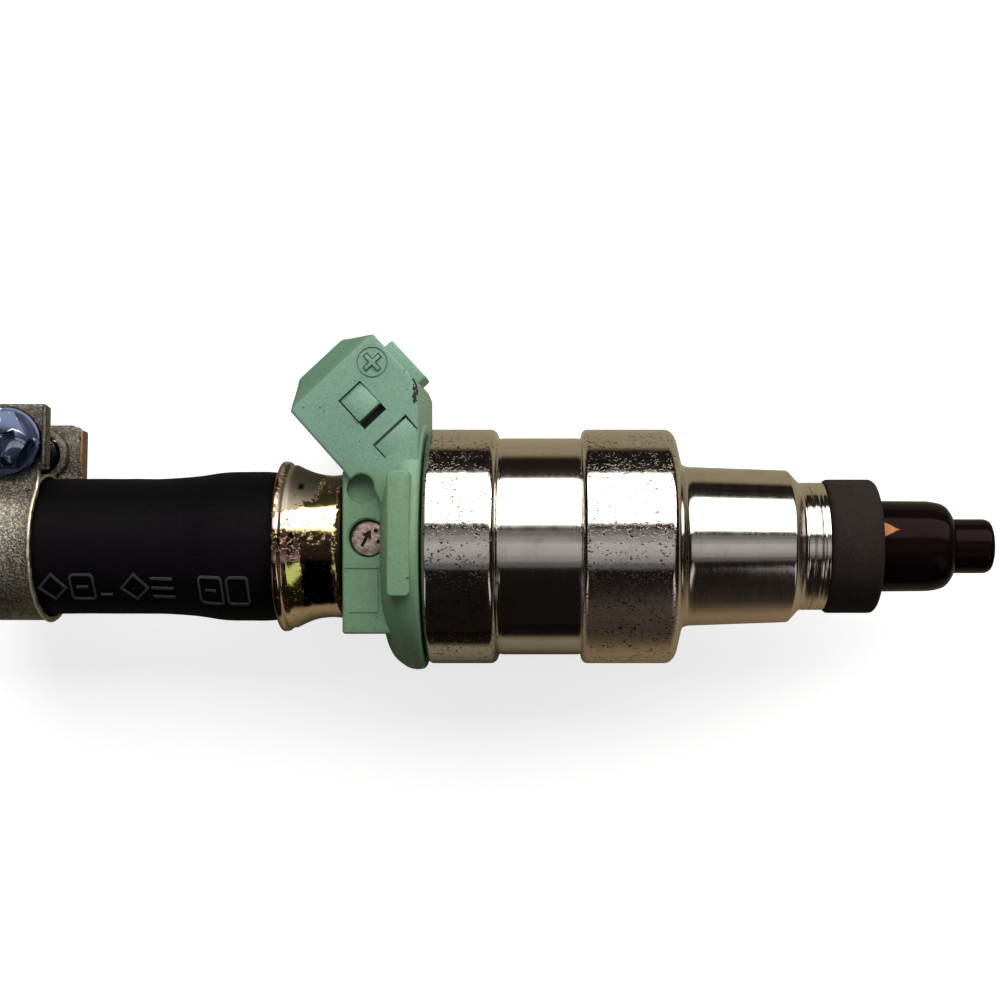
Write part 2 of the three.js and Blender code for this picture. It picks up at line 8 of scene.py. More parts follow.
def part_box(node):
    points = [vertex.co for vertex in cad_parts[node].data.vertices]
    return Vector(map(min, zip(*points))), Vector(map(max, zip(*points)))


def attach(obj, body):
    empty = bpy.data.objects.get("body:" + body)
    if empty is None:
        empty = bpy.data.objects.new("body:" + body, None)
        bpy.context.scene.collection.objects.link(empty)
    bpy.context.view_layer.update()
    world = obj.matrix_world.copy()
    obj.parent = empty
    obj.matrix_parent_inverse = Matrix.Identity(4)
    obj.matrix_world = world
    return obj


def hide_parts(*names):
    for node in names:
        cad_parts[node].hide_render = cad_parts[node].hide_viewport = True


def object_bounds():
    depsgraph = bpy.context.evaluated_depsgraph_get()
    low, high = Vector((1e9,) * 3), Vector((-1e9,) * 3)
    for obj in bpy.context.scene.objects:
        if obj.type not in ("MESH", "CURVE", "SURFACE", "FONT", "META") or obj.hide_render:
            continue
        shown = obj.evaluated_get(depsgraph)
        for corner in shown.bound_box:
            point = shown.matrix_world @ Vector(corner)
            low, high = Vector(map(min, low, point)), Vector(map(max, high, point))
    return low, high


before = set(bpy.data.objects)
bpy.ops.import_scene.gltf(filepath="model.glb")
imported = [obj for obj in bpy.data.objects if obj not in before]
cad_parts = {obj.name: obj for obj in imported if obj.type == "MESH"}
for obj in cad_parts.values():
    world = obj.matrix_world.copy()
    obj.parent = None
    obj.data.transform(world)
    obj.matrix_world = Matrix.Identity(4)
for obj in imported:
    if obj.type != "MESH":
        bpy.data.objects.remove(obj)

# The looks of a fuel injector with a crimped hose stub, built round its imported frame. X runs along
# the injector toward the spray tip, the connector leans toward +Y, and Z crosses the two terminals.
# Shapes are drawn in millimetres, with X counted from a point 1 mm ahead of the seal's front face.
# Each piece is then brought to metres and moved so that the seal's front face is at the origin.

MM = 0.001
SHIFT = 1.0
ROOT = "injector_body"
BODY_MIDDLE = -0.035

cad_low, cad_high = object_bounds()


def corners(node):
    """The lowest and highest corner of a CAD node, in the drawing's millimetres."""
    low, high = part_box(node)
    ahead = Vector((SHIFT, 0, 0))
    return low / MM - ahead, high / MM - ahead


def turned_box(node):
    """Where a turned CAD node starts and ends along X, and its outer radius."""
    low, high = corners(node)
    return low.x, high.x, max(high.y, high.z)


HOSE_BACK, HOSE_FRONT, HOSE_SWOLLEN = turned_box("fuel_hose")
FERRULE_BACK, FERRULE_FRONT, FERRULE_RADIUS = turned_box("hose_ferrule")
CASE_BACK, CASE_FRONT, RING_RADIUS = turned_box("steel_housing")
SEAL_BACK, SEAL_FRONT, SEAL_RADIUS = turned_box("manifold_seal")
CAP_BACK, CAP_FRONT, CAP_RADIUS = turned_box("pintle_cap")
CLAMP_LOW, CLAMP_HIGH = corners("clamp_band")

HOSE_RADIUS = 6.98
HOSE_BORE = 3.75
TUBE_RADIUS = 4.05
WAIST_START = -39.3
WAIST_END = -31.3
WAIST_RADIUS = 11.15
SHOULDER = -22.2

CLAMP_TILT = math.radians(-4.5)
CLAMP_CENTRE = (CLAMP_LOW.x + CLAMP_HIGH.x) / 2
SCREW_HEIGHT = 10.1
SCREW_SEAT = 5.18
THREAD_PITCH = 0.7
FRONT_EAR = 4.5
REAR_EAR = -5.4
REAR_EAR_SHEET = 0.6

SOCKET_TILT = math.radians(43)
SOCKET_MIDDLE = -29.0
SOCKET_HALF_THICKNESS = 5.5
SOCKET_HALF_WIDTH = 9.3
SOCKET_MOUTH = 52.3
SOCKET_FLOOR = 41.5
BLOCK_FACE = 8.2
MOULD_BACK = -54.7
MOULD_FRONT = -46.95
MARK_X = -52.2
MARK_Y = 0.9


# ---------------------------------------------------------------- camera, floor and light

def make_camera():
    """Straight down on the injector as it lies, at the close range that the view was taken from."""
    data = bpy.data.cameras.new("camera")
    data.lens = 55.7
    data.sensor_width = 36
    data.shift_x = -0.05
    data.shift_y = 0.023
    data.clip_start = 0.01
    camera = bpy.data.objects.new("camera", data)
    camera.location = Vector((-34.3 + SHIFT, 2.4, 160)) * MM
    bpy.context.scene.collection.objects.link(camera)
    bpy.context.scene.camera = camera


def make_floor():
    """A pale sheet that the injector lies on. Its reflections are kept dim, and darker further out."""
    half = 1.5
    height = cad_low.z
    mesh = bpy.data.meshes.new("floor")
    square = [(-half, -half, height), (half, -half, height), (half, half, height), (-half, half, height)]
    mesh.from_pydata(square, [], [(0, 1, 2, 3)])
    floor = bpy.data.objects.new("floor", mesh)
    bpy.context.scene.collection.objects.link(floor)
    paper = Paint("floor_paper", colour=(0.9, 0.9, 0.9), roughness=0.9, specular=0.0)
    direct = paper.node("ShaderNodeLightPath").outputs["Is Camera Ray"]
    near = paper.span(paper.absolute(paper.along("Y")), 0.045, 0.08, 1.0, 0.0)
    reflected = paper.mix(near, (0.01, 0.008, 0.007), (0.34, 0.3, 0.21))
    paper.colour(paper.mix(direct, reflected, (0.5, 0.5, 0.5)))
    paper.bump(paper.noise(900, detail=3), 0.00002, 0.2)
    paper.shader.inputs["Emission Color"].default_value = (1, 1, 1, 1)
    paper.link(paper.times(direct, 0.72), paper.shader.inputs["Emission Strength"])
    floor.data.materials.append(paper.material)


def make_light(name, place, target, width, height, power, colour=(1, 1, 1)):
    """A rectangular soft box at a place, aimed at a target."""
    data = bpy.data.lights.new(name, "AREA")
    data.shape = "RECTANGLE"
    data.size = width
    data.size_y = height
    data.energy = power
    data.color = colour
    light = bpy.data.objects.new(name, data)
    light.location = place
    direction = Vector(target) - Vector(place)
    light.rotation_mode = "QUATERNION"
    light.rotation_quaternion = direction.to_track_quat("-Z", "Y")
    bpy.context.scene.collection.objects.link(light)


def panel_light(name, low_angle, high_angle, distance, length, radiance, colour, along=0.0):
    """A soft box that fills a range of angles from straight up toward +Y, seen from the injector."""
    middle = Vector((BODY_MIDDLE + along, 0, 0))
    centre = math.radians((low_angle + high_angle) / 2)
    half = math.radians((high_angle - low_angle) / 2)
    width = 2 * distance * math.tan(half)
    place = middle + Vector((0, math.sin(centre), math.cos(centre))) * distance
    make_light(name, place, middle, length, width, radiance * math.pi * length * width, colour)


def make_studio():
    """A large soft box on the connector's side, and dim strips overhead that fade out at both ends."""
    panel_light("main_box", 23, 75, 0.5, 1.0, 4.4, (1.0, 0.98, 0.95), along=0.22)
    strips = (
        (-21, -15, 0.15), (-15, -9, 0.4), (-9, -3, 0.56),
        (-3, 5, 0.64), (5, 11, 0.42), (11, 17, 0.22),
    )
    for low_angle, high_angle, radiance in strips:
        panel_light("top_box", low_angle, high_angle, 0.6, 1.0, radiance, (0.95, 0.95, 1.0))
    for side in (-1, 1):
        place = Vector((BODY_MIDDLE + side * 0.28, -0.28, 0.28))
        make_light("side_box", place, (BODY_MIDDLE, 0, 0), 0.12, 0.3, 0.09)


def make_room():
    """A room that is dark in reflections and pale where the camera looks straight at it."""
    world = bpy.data.worlds.new("studio")
    bpy.context.scene.world = world
    world.use_nodes = True
    nodes = world.node_tree.nodes
    links = world.node_tree.links
    room = nodes["Background"]
    room.inputs["Color"].default_value = (1.0, 0.8, 0.72, 1)
    room.inputs["Strength"].default_value = 0.011
    backdrop = nodes.new("ShaderNodeBackground")
    backdrop.inputs["Color"].default_value = (1, 1, 1, 1)
    backdrop.inputs["Strength"].default_value = 0.74
    choice = nodes.new("ShaderNodeMixShader")
    seen = nodes.new("ShaderNodeLightPath").outputs["Is Camera Ray"]
    links.new(seen, choice.inputs["Fac"])
    links.new(room.outputs["Background"], choice.inputs[1])
    links.new(backdrop.outputs["Background"], choice.inputs[2])
    links.new(choice.outputs["Shader"], nodes["World Output"].inputs["Surface"])


# ---------------------------------------------------------------- material kit

class Paint:
    """A procedural material: a Principled shader and the nodes that feed it, in the frame's axes."""

    def __init__(self, name, colour, roughness=0.5, metallic=0.0, specular=0.5):
        self.material = bpy.data.materials.new(name)
        self.material.use_nodes = True
        self.tree = self.material.node_tree
        self.shader = self.tree.nodes["Principled BSDF"]
        self.shader.inputs["Base Color"].default_value = (*colour, 1)
        self.shader.inputs["Roughness"].default_value = roughness
        self.shader.inputs["Metallic"].default_value = metallic
        self.shader.inputs["Specular IOR Level"].default_value = specular
        self.place = self.tree.nodes.new("ShaderNodeTexCoord").outputs["Object"]

    def node(self, kind, **settings):
        made = self.tree.nodes.new(kind)
        for key, value in settings.items():
            setattr(made, key, value)
        return made

    def link(self, output, target):
        self.tree.links.new(output, target)

    def stretched(self, x, y, z):
        """The place, stretched by a factor along each axis."""
        mapping = self.node("ShaderNodeMapping", vector_type="POINT")
        mapping.inputs["Scale"].default_value = (x, y, z)
        self.link(self.place, mapping.inputs["Vector"])
        return mapping.outputs["Vector"]

    def noise(self, scale, detail=4, roughness=0.55, place=None, distortion=0.0):
        made = self.node("ShaderNodeTexNoise")
        made.inputs["Scale"].default_value = scale
        made.inputs["Detail"].default_value = detail
        made.inputs["Roughness"].default_value = roughness
        made.inputs["Distortion"].default_value = distortion
        self.link(place or self.place, made.inputs["Vector"])
        return made.outputs["Fac"]

    def along(self, axis):
        """One coordinate of the place, in metres."""
        made = self.node("ShaderNodeSeparateXYZ")
        self.link(self.place, made.inputs[0])
        return made.outputs[axis]

    def math(self, operation, first, second=None):
        made = self.node("ShaderNodeMath", operation=operation)
        for value, target in ((first, made.inputs[0]), (second, made.inputs[1])):
            if value is None:
                continue
            if isinstance(value, (int, float)):
                target.default_value = value
            else:
                self.link(value, target)
        return made.outputs[0]

    def times(self, first, second):
        return self.math("MULTIPLY", first, second)

    def add(self, first, second):
        return self.math("ADD", first, second)

    def less(self, first, second):
        return self.math("SUBTRACT", first, second)

    def larger(self, first, second):
        return self.math("MAXIMUM", first, second)

    def absolute(self, value):
        return self.math("ABSOLUTE", value)

    def span(self, value, low, high, out_low=0.0, out_high=1.0):
        """A value between low and high, spread smoothly over another range and held at its ends."""
        made = self.node("ShaderNodeMapRange", interpolation_type="SMOOTHSTEP")
        made.inputs["From Min"].default_value = low
        made.inputs["From Max"].default_value = high
        made.inputs["To Min"].default_value = out_low
        made.inputs["To Max"].default_value = out_high
        self.link(value, made.inputs["Value"])
        return made.outputs["Result"]

    def slope(self, axis, low, high, out_low=0.0, out_high=1.0):
        """A value that changes between two places along an axis of the frame, in millimetres."""
        return self.span(self.along(axis), low * MM, high * MM, out_low, out_high)

    def band(self, axis, low, high, edge):
        """1 between two places along an axis of the drawing, in millimetres, and 0 outside them."""
        value = self.along(axis)
        if axis == "X":
            low += SHIFT
            high += SHIFT
        rise = self.span(value, (low - edge) * MM, (low + edge) * MM)
        fall = self.span(value, (high - edge) * MM, (high + edge) * MM, 1.0, 0.0)
        return self.times(rise, fall)

    def ramp(self, value, stops):
        """A colour for each stop of (position, (r, g, b))."""
        made = self.node("ShaderNodeValToRGB")
        elements = made.color_ramp.elements
        while len(elements) < len(stops):
            elements.new(0.5)
        for element, (position, colour) in zip(elements, stops):
            element.position = position
            element.color = (*colour, 1)
        self.link(value, made.inputs["Fac"])
        return made.outputs["Color"]

    def mix(self, factor, first, second):
        """Two colours mixed by a factor. Either may be a plain colour."""
        made = self.node("ShaderNodeMix", data_type="RGBA")
        self.link(factor, made.inputs["Factor"])
        for value, name in ((first, 6), (second, 7)):
            if isinstance(value, tuple):
                made.inputs[name].default_value = (*value, 1)
            else:
                self.link(value, made.inputs[name])
        return made.outputs[2]

    def colour(self, value):
        self.link(value, self.shader.inputs["Base Color"])

    def rough(self, value):
        self.link(value, self.shader.inputs["Roughness"])

    def bump(self, height, distance, strength=1.0):
        """A bump of that height in metres, on top of any bump before it."""
        made = self.node("ShaderNodeBump")
        made.inputs["Distance"].default_value = distance
        made.inputs["Strength"].default_value = strength
        self.link(height, made.inputs["Height"])
        before = self.shader.inputs["Normal"].links
        if before:
            self.link(before[0].from_socket, made.inputs["Normal"])
        self.link(made.outputs["Normal"], self.shader.inputs["Normal"])


# ---------------------------------------------------------------- shape kit

def new_piece(name, mesh_bm):
    """A new object from a bmesh. It stays in millimetres until it is settled."""
    bmesh.ops.recalc_face_normals(mesh_bm, faces=mesh_bm.faces)
    mesh = bpy.data.meshes.new(name)
    mesh_bm.to_mesh(mesh)
    mesh_bm.free()
    made = bpy.data.objects.new(name, mesh)
    bpy.context.scene.collection.objects.link(made)
    return made


def filleted(outline, steps=5):
    """An outline of (x, radius, fillet) points as (x, radius) points with rounded corners."""
    result = []
    count = len(outline)
    for index, (x, radius, fillet) in enumerate(outline):
        corner = Vector((x, radius))
        before = Vector(outline[index - 1][:2]) - corner
        after = Vector(outline[(index + 1) % count][:2]) - corner
        reach = min(fillet, before.length * 0.48, after.length * 0.48)
        if reach < 1e-6:
            result.append((x, radius))
            continue
        start = corner + before.normalized() * reach
        end = corner + after.normalized() * reach
        for step in range(steps + 1):
            t = step / steps
            point = start * (1 - t) ** 2 + corner * 2 * t * (1 - t) + end * t ** 2
            result.append((point.x, max(point.y, 0.0)))
    return result


def lathe(outline, sides=160, shape=None):
    """A closed outline of (x, radius) points turned about X. shape moves each point, if given."""
    made = bmesh.new()
    rings = []
    for x, radius in outline:
        ring = []
        for side in range(sides):
            angle = 2 * math.pi * side / sides
            point = Vector((x, radius * math.cos(angle), radius * math.sin(angle)))
            if shape:
                point = shape(point, angle)
            ring.append(made.verts.new(point))
        rings.append(ring)
    for index, ring in enumerate(rings):
        following = rings[(index + 1) % len(rings)]
        for side in range(sides):
            other = (side + 1) % sides
            made.faces.new((ring[side], ring[other], following[other], following[side]))
    return made


def solid_prism(outline, low, high, bevel, place, segments=3):
    """A bevelled prism: an outline of two coordinates made thick along a third, put in by place."""
    made = bmesh.new()
    bottom = [made.verts.new(place(a, b, low)) for a, b in outline]
    top = [made.verts.new(place(a, b, high)) for a, b in outline]
    made.faces.new(bottom)
    made.faces.new(list(reversed(top)))
    for index, vertex in enumerate(bottom):
        other = (index + 1) % len(bottom)
        made.faces.new((vertex, bottom[other], top[other], top[index]))
    bmesh.ops.recalc_face_normals(made, faces=made.faces)
    if bevel:
        sharp = [edge for edge in made.edges if edge.calc_face_angle(0) > math.radians(25)]
        bmesh.ops.bevel(made, geom=sharp, offset=bevel, segments=segments, profile=0.5,
                        affect="EDGES", clamp_overlap=True)
    return made


def in_plan(x, y, z):
    return Vector((x, y, z))


def in_socket(across, along, z):
    """A point in the socket's own axes."""
    return Matrix.Rotation(SOCKET_TILT, 3, "Z") @ Vector((across, along, z))


def socket_side(along, z, across):
    """As in_socket, for an outline drawn along the socket and across Z."""
    return in_socket(across, along, z)


def rectangle(left, right, low, high):
    return [(left, low), (right, low), (right, high), (left, high)]


def rounded_rectangle(x, y, half_width, half_height, corner, steps=5):
    """A rectangle with round corners, as points."""
    points = []
    for turn, (sign_x, sign_y) in enumerate(((1, 1), (-1, 1), (-1, -1), (1, -1))):
        centre = Vector((x + sign_x * (half_width - corner), y + sign_y * (half_height - corner)))
        for step in range(steps + 1):
            angle = math.pi / 2 * (turn + step / steps)
            points.append((centre.x + corner * math.cos(angle), centre.y + corner * math.sin(angle)))
    return points


def round_outline(x, y, radius, steps=40):
    return [(x + radius * math.cos(2 * math.pi * s / steps), y + radius * math.sin(2 * math.pi * s / steps))
            for s in range(steps)]


def rod(x, y, radius, low, high, steps=40):
    """A plain rod along Z."""
    return solid_prism(round_outline(x, y, radius, steps), low, high, 0, in_plan)


def rod_along(back, front, radius):
    """A plain rod along X, turned a little so that no corner of it falls on a middle plane."""
    turn = Matrix.Rotation(math.radians(0.7), 3, "X")

    def place(y, z, x):
        return turn @ Vector((x, y, z))

    return solid_prism(round_outline(0, 0, radius, 96), back, front, 0, place)


def frame_solid(outer, inner, low, high, place):
    """A closed frame between two loops of the same number of points, thick from low to high."""
    made = bmesh.new()
    loops = ((outer, low), (outer, high), (inner, high), (inner, low))
    rings = [[made.verts.new(place(a, b, height)) for a, b in loop] for loop, height in loops]
    for index, ring in enumerate(rings):
        following = rings[(index + 1) % len(rings)]
        for step in range(len(ring)):
            other = (step + 1) % len(ring)
            made.faces.new((ring[step], ring[other], following[other], following[step]))
    return made


def gathered(parts):
    """Several separate solids as one bmesh."""
    made = bmesh.new()
    for part in parts:
        mesh = bpy.data.meshes.new("part")
        part.to_mesh(mesh)
        part.free()
        made.from_mesh(mesh)
        bpy.data.meshes.remove(mesh)
    return made


def loft(sections):
    """A closed solid through rings of points, the same number in each."""
    made = bmesh.new()
    rings = [[made.verts.new(point) for point in section] for section in sections]
    for ring, following in zip(rings, rings[1:]):
        for index in range(len(ring)):
            other = (index + 1) % len(ring)
            made.faces.new((ring[index], ring[other], following[other], following[index]))
    made.faces.new(list(reversed(rings[0])))
    made.faces.new(rings[-1])
    return made


def combine(target, tool_bm, operation):
    """Joins a solid to a piece, or cuts the piece with it."""
    tool = new_piece("tool", tool_bm)
    modifier = target.modifiers.new("boolean", "BOOLEAN")
    modifier.operation = operation
    modifier.solver = "EXACT"
    modifier.object = tool
    bake_modifiers(target)
    bpy.data.objects.remove(tool)


def bake_modifiers(target):
    """Applies a piece's modifiers to its mesh."""
    bpy.context.view_layer.update()
    seen = target.evaluated_get(bpy.context.evaluated_depsgraph_get())
    mesh = bpy.data.meshes.new_from_object(seen)
    target.modifiers.clear()
    target.data = mesh


def join(target, tool_bm):
    combine(target, tool_bm, "UNION")


def join_piece(target, piece):
    """Joins another piece, which is used up."""
    made = bmesh.new()
    made.from_mesh(piece.data)
    bpy.data.objects.remove(piece)
    join(target, made)


def cut(target, tool_bm):
    combine(target, tool_bm, "DIFFERENCE")


def keep_inside(target, tool_bm):
    combine(target, tool_bm, "INTERSECT")


def settle(piece, paint, slot, body, *nodes, sharp=30):
    """Brings a piece to metres, with its material, on its body in place of CAD nodes. The slot argument is
    not used.
    """
    mesh = piece.data
    mesh.transform(Matrix.Scale(MM, 4) @ Matrix.Translation((SHIFT, 0, 0)))
    mesh.shade_smooth()
    mesh.set_sharp_from_angle(angle=math.radians(sharp))
    piece.data.materials.clear()
    piece.data.materials.append(paint.material)
    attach(piece, body)
    if nodes:
        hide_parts(*nodes)


# ---------------------------------------------------------------- materials

def brushed_noise(paint, fineness=9000):
    """Fine lines that run round the axis."""
    return paint.noise(1.0, detail=5, roughness=0.65, place=paint.stretched(fineness, 260, 260))


def plated_steel():
    """Dull nickel plate: pitted on the two rings, finely turned on the waist and neck, with a painted warm
    reflection along the lower side of the second ring and neck.
    """
    paint = Paint("plated_steel", (0.62, 0.57, 0.5), roughness=0.3, metallic=1.0)
    first = paint.band("X", CASE_BACK, WAIST_START, 0.25)
    second = paint.band("X", WAIST_END, SHOULDER + 0.4, 0.3)
    rings = paint.add(first, second)
    smooth = paint.less(1.0, rings)
    peel = paint.noise(1500, detail=4, roughness=0.5)
    crowd = paint.noise(500, detail=3)
    flecks = paint.noise(4200, detail=2, roughness=0.5, place=paint.stretched(0.7, 1, 1))
    pits = paint.span(paint.add(flecks, paint.times(crowd, 0.25)), 0.735, 0.775)
    spots = paint.times(pits, paint.add(rings, 0.03))
    broad = paint.noise(160, detail=5, roughness=0.65)
    stains = paint.span(paint.noise(420, detail=6, roughness=0.7), 0.5, 0.72)
    base = paint.mix(broad, (0.66, 0.62, 0.56), (0.5, 0.46, 0.41))
    stained = paint.mix(paint.times(stains, 0.45), base, (0.34, 0.28, 0.22))
    lines = brushed_noise(paint)
    # Painted reflection: toward -Y on the second ring and neck, the colour is warmed and the roughness
    # raised.
    low_side = paint.times(paint.slope("Y", -7, -2.0, 1.0, 0.0), paint.band("X", WAIST_END, 0, 0.3))
    warm_reflection_painted = paint.mix(paint.times(low_side, 0.75), stained, (0.95, 0.72, 0.53))
    paint.colour(paint.mix(spots, warm_reflection_painted, (0.1, 0.07, 0.05)))
    lower_side_roughness = paint.times(low_side, 0.3)
    ring_rough = paint.times(paint.span(peel, 0.3, 0.7, 0.08, 0.13), rings)
    smooth_rough = paint.times(paint.span(lines, 0.3, 0.7, 0.08, 0.15), smooth)
    paint.rough(paint.add(paint.add(ring_rough, smooth_rough), lower_side_roughness))
    paint.bump(paint.times(peel, rings), 0.000012, 0.45)
    paint.bump(paint.times(lines, smooth), 0.000014, 0.6)
    paint.bump(paint.less(1.0, spots), 0.000012, 0.4)
    return paint


def socket_places(paint):
    """The place along the socket and the place across it, in metres."""
    lean = math.sin(SOCKET_TILT)
    rise = math.cos(SOCKET_TILT)
    ahead = paint.less(paint.along("X"), SHIFT * MM)
    beside = paint.along("Y")
    up = paint.less(paint.times(beside, rise), paint.times(ahead, lean))
    over = paint.add(paint.times(ahead, rise), paint.times(beside, lean))
    return up, over


def green_plastic():
    """Moulded nylon with a fine satin grain, faint flow marks, dirt and chips, darker and yellower toward
    the bottom, with painted shade on the mouth's chamfer and a painted shadow in the gap of each latch
    pocket.
    """
    paint = Paint("green_plastic", (0.15, 0.28, 0.2), roughness=0.42, specular=0.35)
    flow = paint.noise(140, detail=4, roughness=0.6, distortion=0.4)
    speckle = paint.noise(5200, detail=3, roughness=0.7)
    flow_toned = paint.mix(flow, (0.155, 0.285, 0.208), (0.192, 0.34, 0.255))
    # Darker and yellower towards the bottom, below Y = 6 mm.
    low = paint.slope("Y", 6.0, 9.0, 0.75, 0.0)
    base = paint.mix(low, flow_toned, (0.143, 0.255, 0.122))
    grained = paint.mix(paint.span(speckle, 0.35, 0.75, 0.0, 0.5), base, (0.07, 0.15, 0.095))
    dirt = paint.span(paint.noise(700, detail=7, roughness=0.75), 0.62, 0.78)
    dirty = paint.mix(paint.times(dirt, 0.35), grained, (0.1, 0.1, 0.06))
    face = paint.span(paint.absolute(paint.along("Z")), 8.9 * MM, 9.2 * MM)
    corner = paint.times(paint.band("X", -47.75, -46.9, 0.25), paint.band("Y", 13.9, 16.7, 0.4))
    crumbs = paint.times(paint.times(corner, face), 0.24)
    chips = paint.add(crumbs, paint.noise(2300, detail=5))
    chipped = paint.mix(paint.span(chips, 0.68, 0.72), dirty, (0.012, 0.009, 0.007))
    up, over = socket_places(paint)
    # Painted shade: the mouth's chamfer, past 50.35 mm along the socket, is darkened.
    mouth_chamfer_shaded = paint.mix(paint.span(up, 50.35 * MM, 50.6 * MM, 0.0, 0.6), chipped, (0.07, 0.14, 0.075))
    # Painted shadow: the gap in each latch pocket beyond the ramp's drop is painted near black.
    below = paint.span(up, 44.92 * MM, 44.95 * MM, 1.0, 0.0)
    drop = paint.times(below, paint.span(up, 44.08 * MM, 44.12 * MM))
    near = paint.absolute(paint.less(over, SOCKET_MIDDLE * MM))
    pocket = paint.times(drop, paint.span(near, 1.46 * MM, 1.5 * MM, 1.0, 0.0))
    sunk = paint.span(paint.absolute(paint.along("Z")), 9.18 * MM, 9.24 * MM, 1.0, 0.0)
    paint.colour(paint.mix(paint.times(pocket, sunk), mouth_chamfer_shaded, (0.006, 0.009, 0.008)))
    paint.rough(paint.span(paint.noise(2600, detail=4), 0.3, 0.7, 0.36, 0.52))
    paint.bump(speckle, 0.00003, 0.35)
    paint.bump(paint.noise(420, detail=3), 0.00006, 0.25)
    return paint


def hose_rubber():
    """Black hose cover, with a faint grain along it and dusty specks."""
    paint = Paint("hose_rubber", (0.01, 0.009, 0.011), roughness=0.6, specular=0.04)
    weave = paint.noise(1.0, detail=4, roughness=0.6, place=paint.stretched(500, 2600, 2600))
    speckle = paint.noise(4800, detail=4, roughness=0.75)
    dust = paint.span(speckle, 0.6, 0.78)
    base = paint.mix(weave, (0.0015, 0.0012, 0.002), (0.006, 0.0045, 0.006))
    shaded = paint.mix(paint.slope("Y", 1, 5, 0.0, 0.75), base, (0.0008, 0.0008, 0.0012))
    paint.colour(paint.mix(paint.times(dust, 0.4), shaded, (0.02, 0.015, 0.017)))
    paint.rough(paint.span(speckle, 0.3, 0.7, 0.48, 0.72))
    paint.bump(weave, 0.00007, 0.45)
    paint.bump(speckle, 0.00003, 0.5)
    return paint


def cushion_rubber():
    """Weathered seal rubber, brown grey and coarse."""
    paint = Paint("cushion_rubber", (0.03, 0.026, 0.022), roughness=0.8, specular=0.12)
    grain = paint.noise(3800, detail=6, roughness=0.8)
    broad = paint.noise(300, detail=4)
    base = paint.mix(broad, (0.008, 0.0065, 0.007), (0.021, 0.0155, 0.013))
    paint.colour(paint.mix(paint.span(grain, 0.5, 0.75, 0.0, 0.6), base, (0.07, 0.05, 0.035)))
    paint.rough(paint.span(grain, 0.3, 0.7, 0.65, 0.9))
    paint.bump(grain, 0.0001, 0.7)
    return paint


def cap_plastic():
    """Glossy brown black cap, with a painted amber highlight in a ragged wedge near its back, on its +Z
    side.
    """
    paint = Paint("cap_plastic", (0.004, 0.002, 0.002), roughness=0.14, specular=0.055)
    paint.shader.inputs["Specular Tint"].default_value = (1.0, 0.6, 0.58, 1)
    cloud = paint.noise(500, detail=5, roughness=0.6)
    base = paint.mix(cloud, (0.006, 0.003, 0.003), (0.002, 0.001, 0.0015))
    # Painted highlight: an amber wedge along Y = 1.75 mm near the cap's back, where the soft box reflects.
    length = paint.slope("X", 0.0, 2.6, 1.0, 0.0)
    ragged = paint.times(paint.noise(1800, detail=4), 0.25 * MM)
    across = paint.absolute(paint.less(paint.along("Y"), 1.75 * MM))
    reach = paint.times(length, 0.9 * MM)
    inside = paint.less(paint.add(reach, ragged), across)
    front = paint.slope("Z", 0.0, 0.5)
    amber_highlight_mask = paint.times(paint.span(inside, 0.25 * MM, 0.36 * MM), front)
    amber_highlight = paint.mix(paint.noise(2600, detail=4), (0.6, 0.27, 0.09), (0.2, 0.07, 0.03))
    paint.colour(paint.mix(amber_highlight_mask, base, amber_highlight))
    paint.rough(paint.span(cloud, 0.3, 0.7, 0.1, 0.22))
    paint.bump(paint.noise(900, detail=4), 0.00003, 0.3)
    return paint


def chromate_colours(paint):
    """Gold that drifts to green and pink from place to place."""
    drift = paint.noise(230, detail=3, roughness=0.5, distortion=1.2)
    return paint.ramp(drift, (
        (0.28, (0.4, 0.6, 0.12)),
        (0.4, (0.8, 0.68, 0.25)),
        (0.5, (0.82, 0.56, 0.3)),
        (0.58, (0.75, 0.4, 0.4)),
        (0.68, (0.45, 0.55, 0.25)),
        (0.8, (0.85, 0.75, 0.4)),
    ))


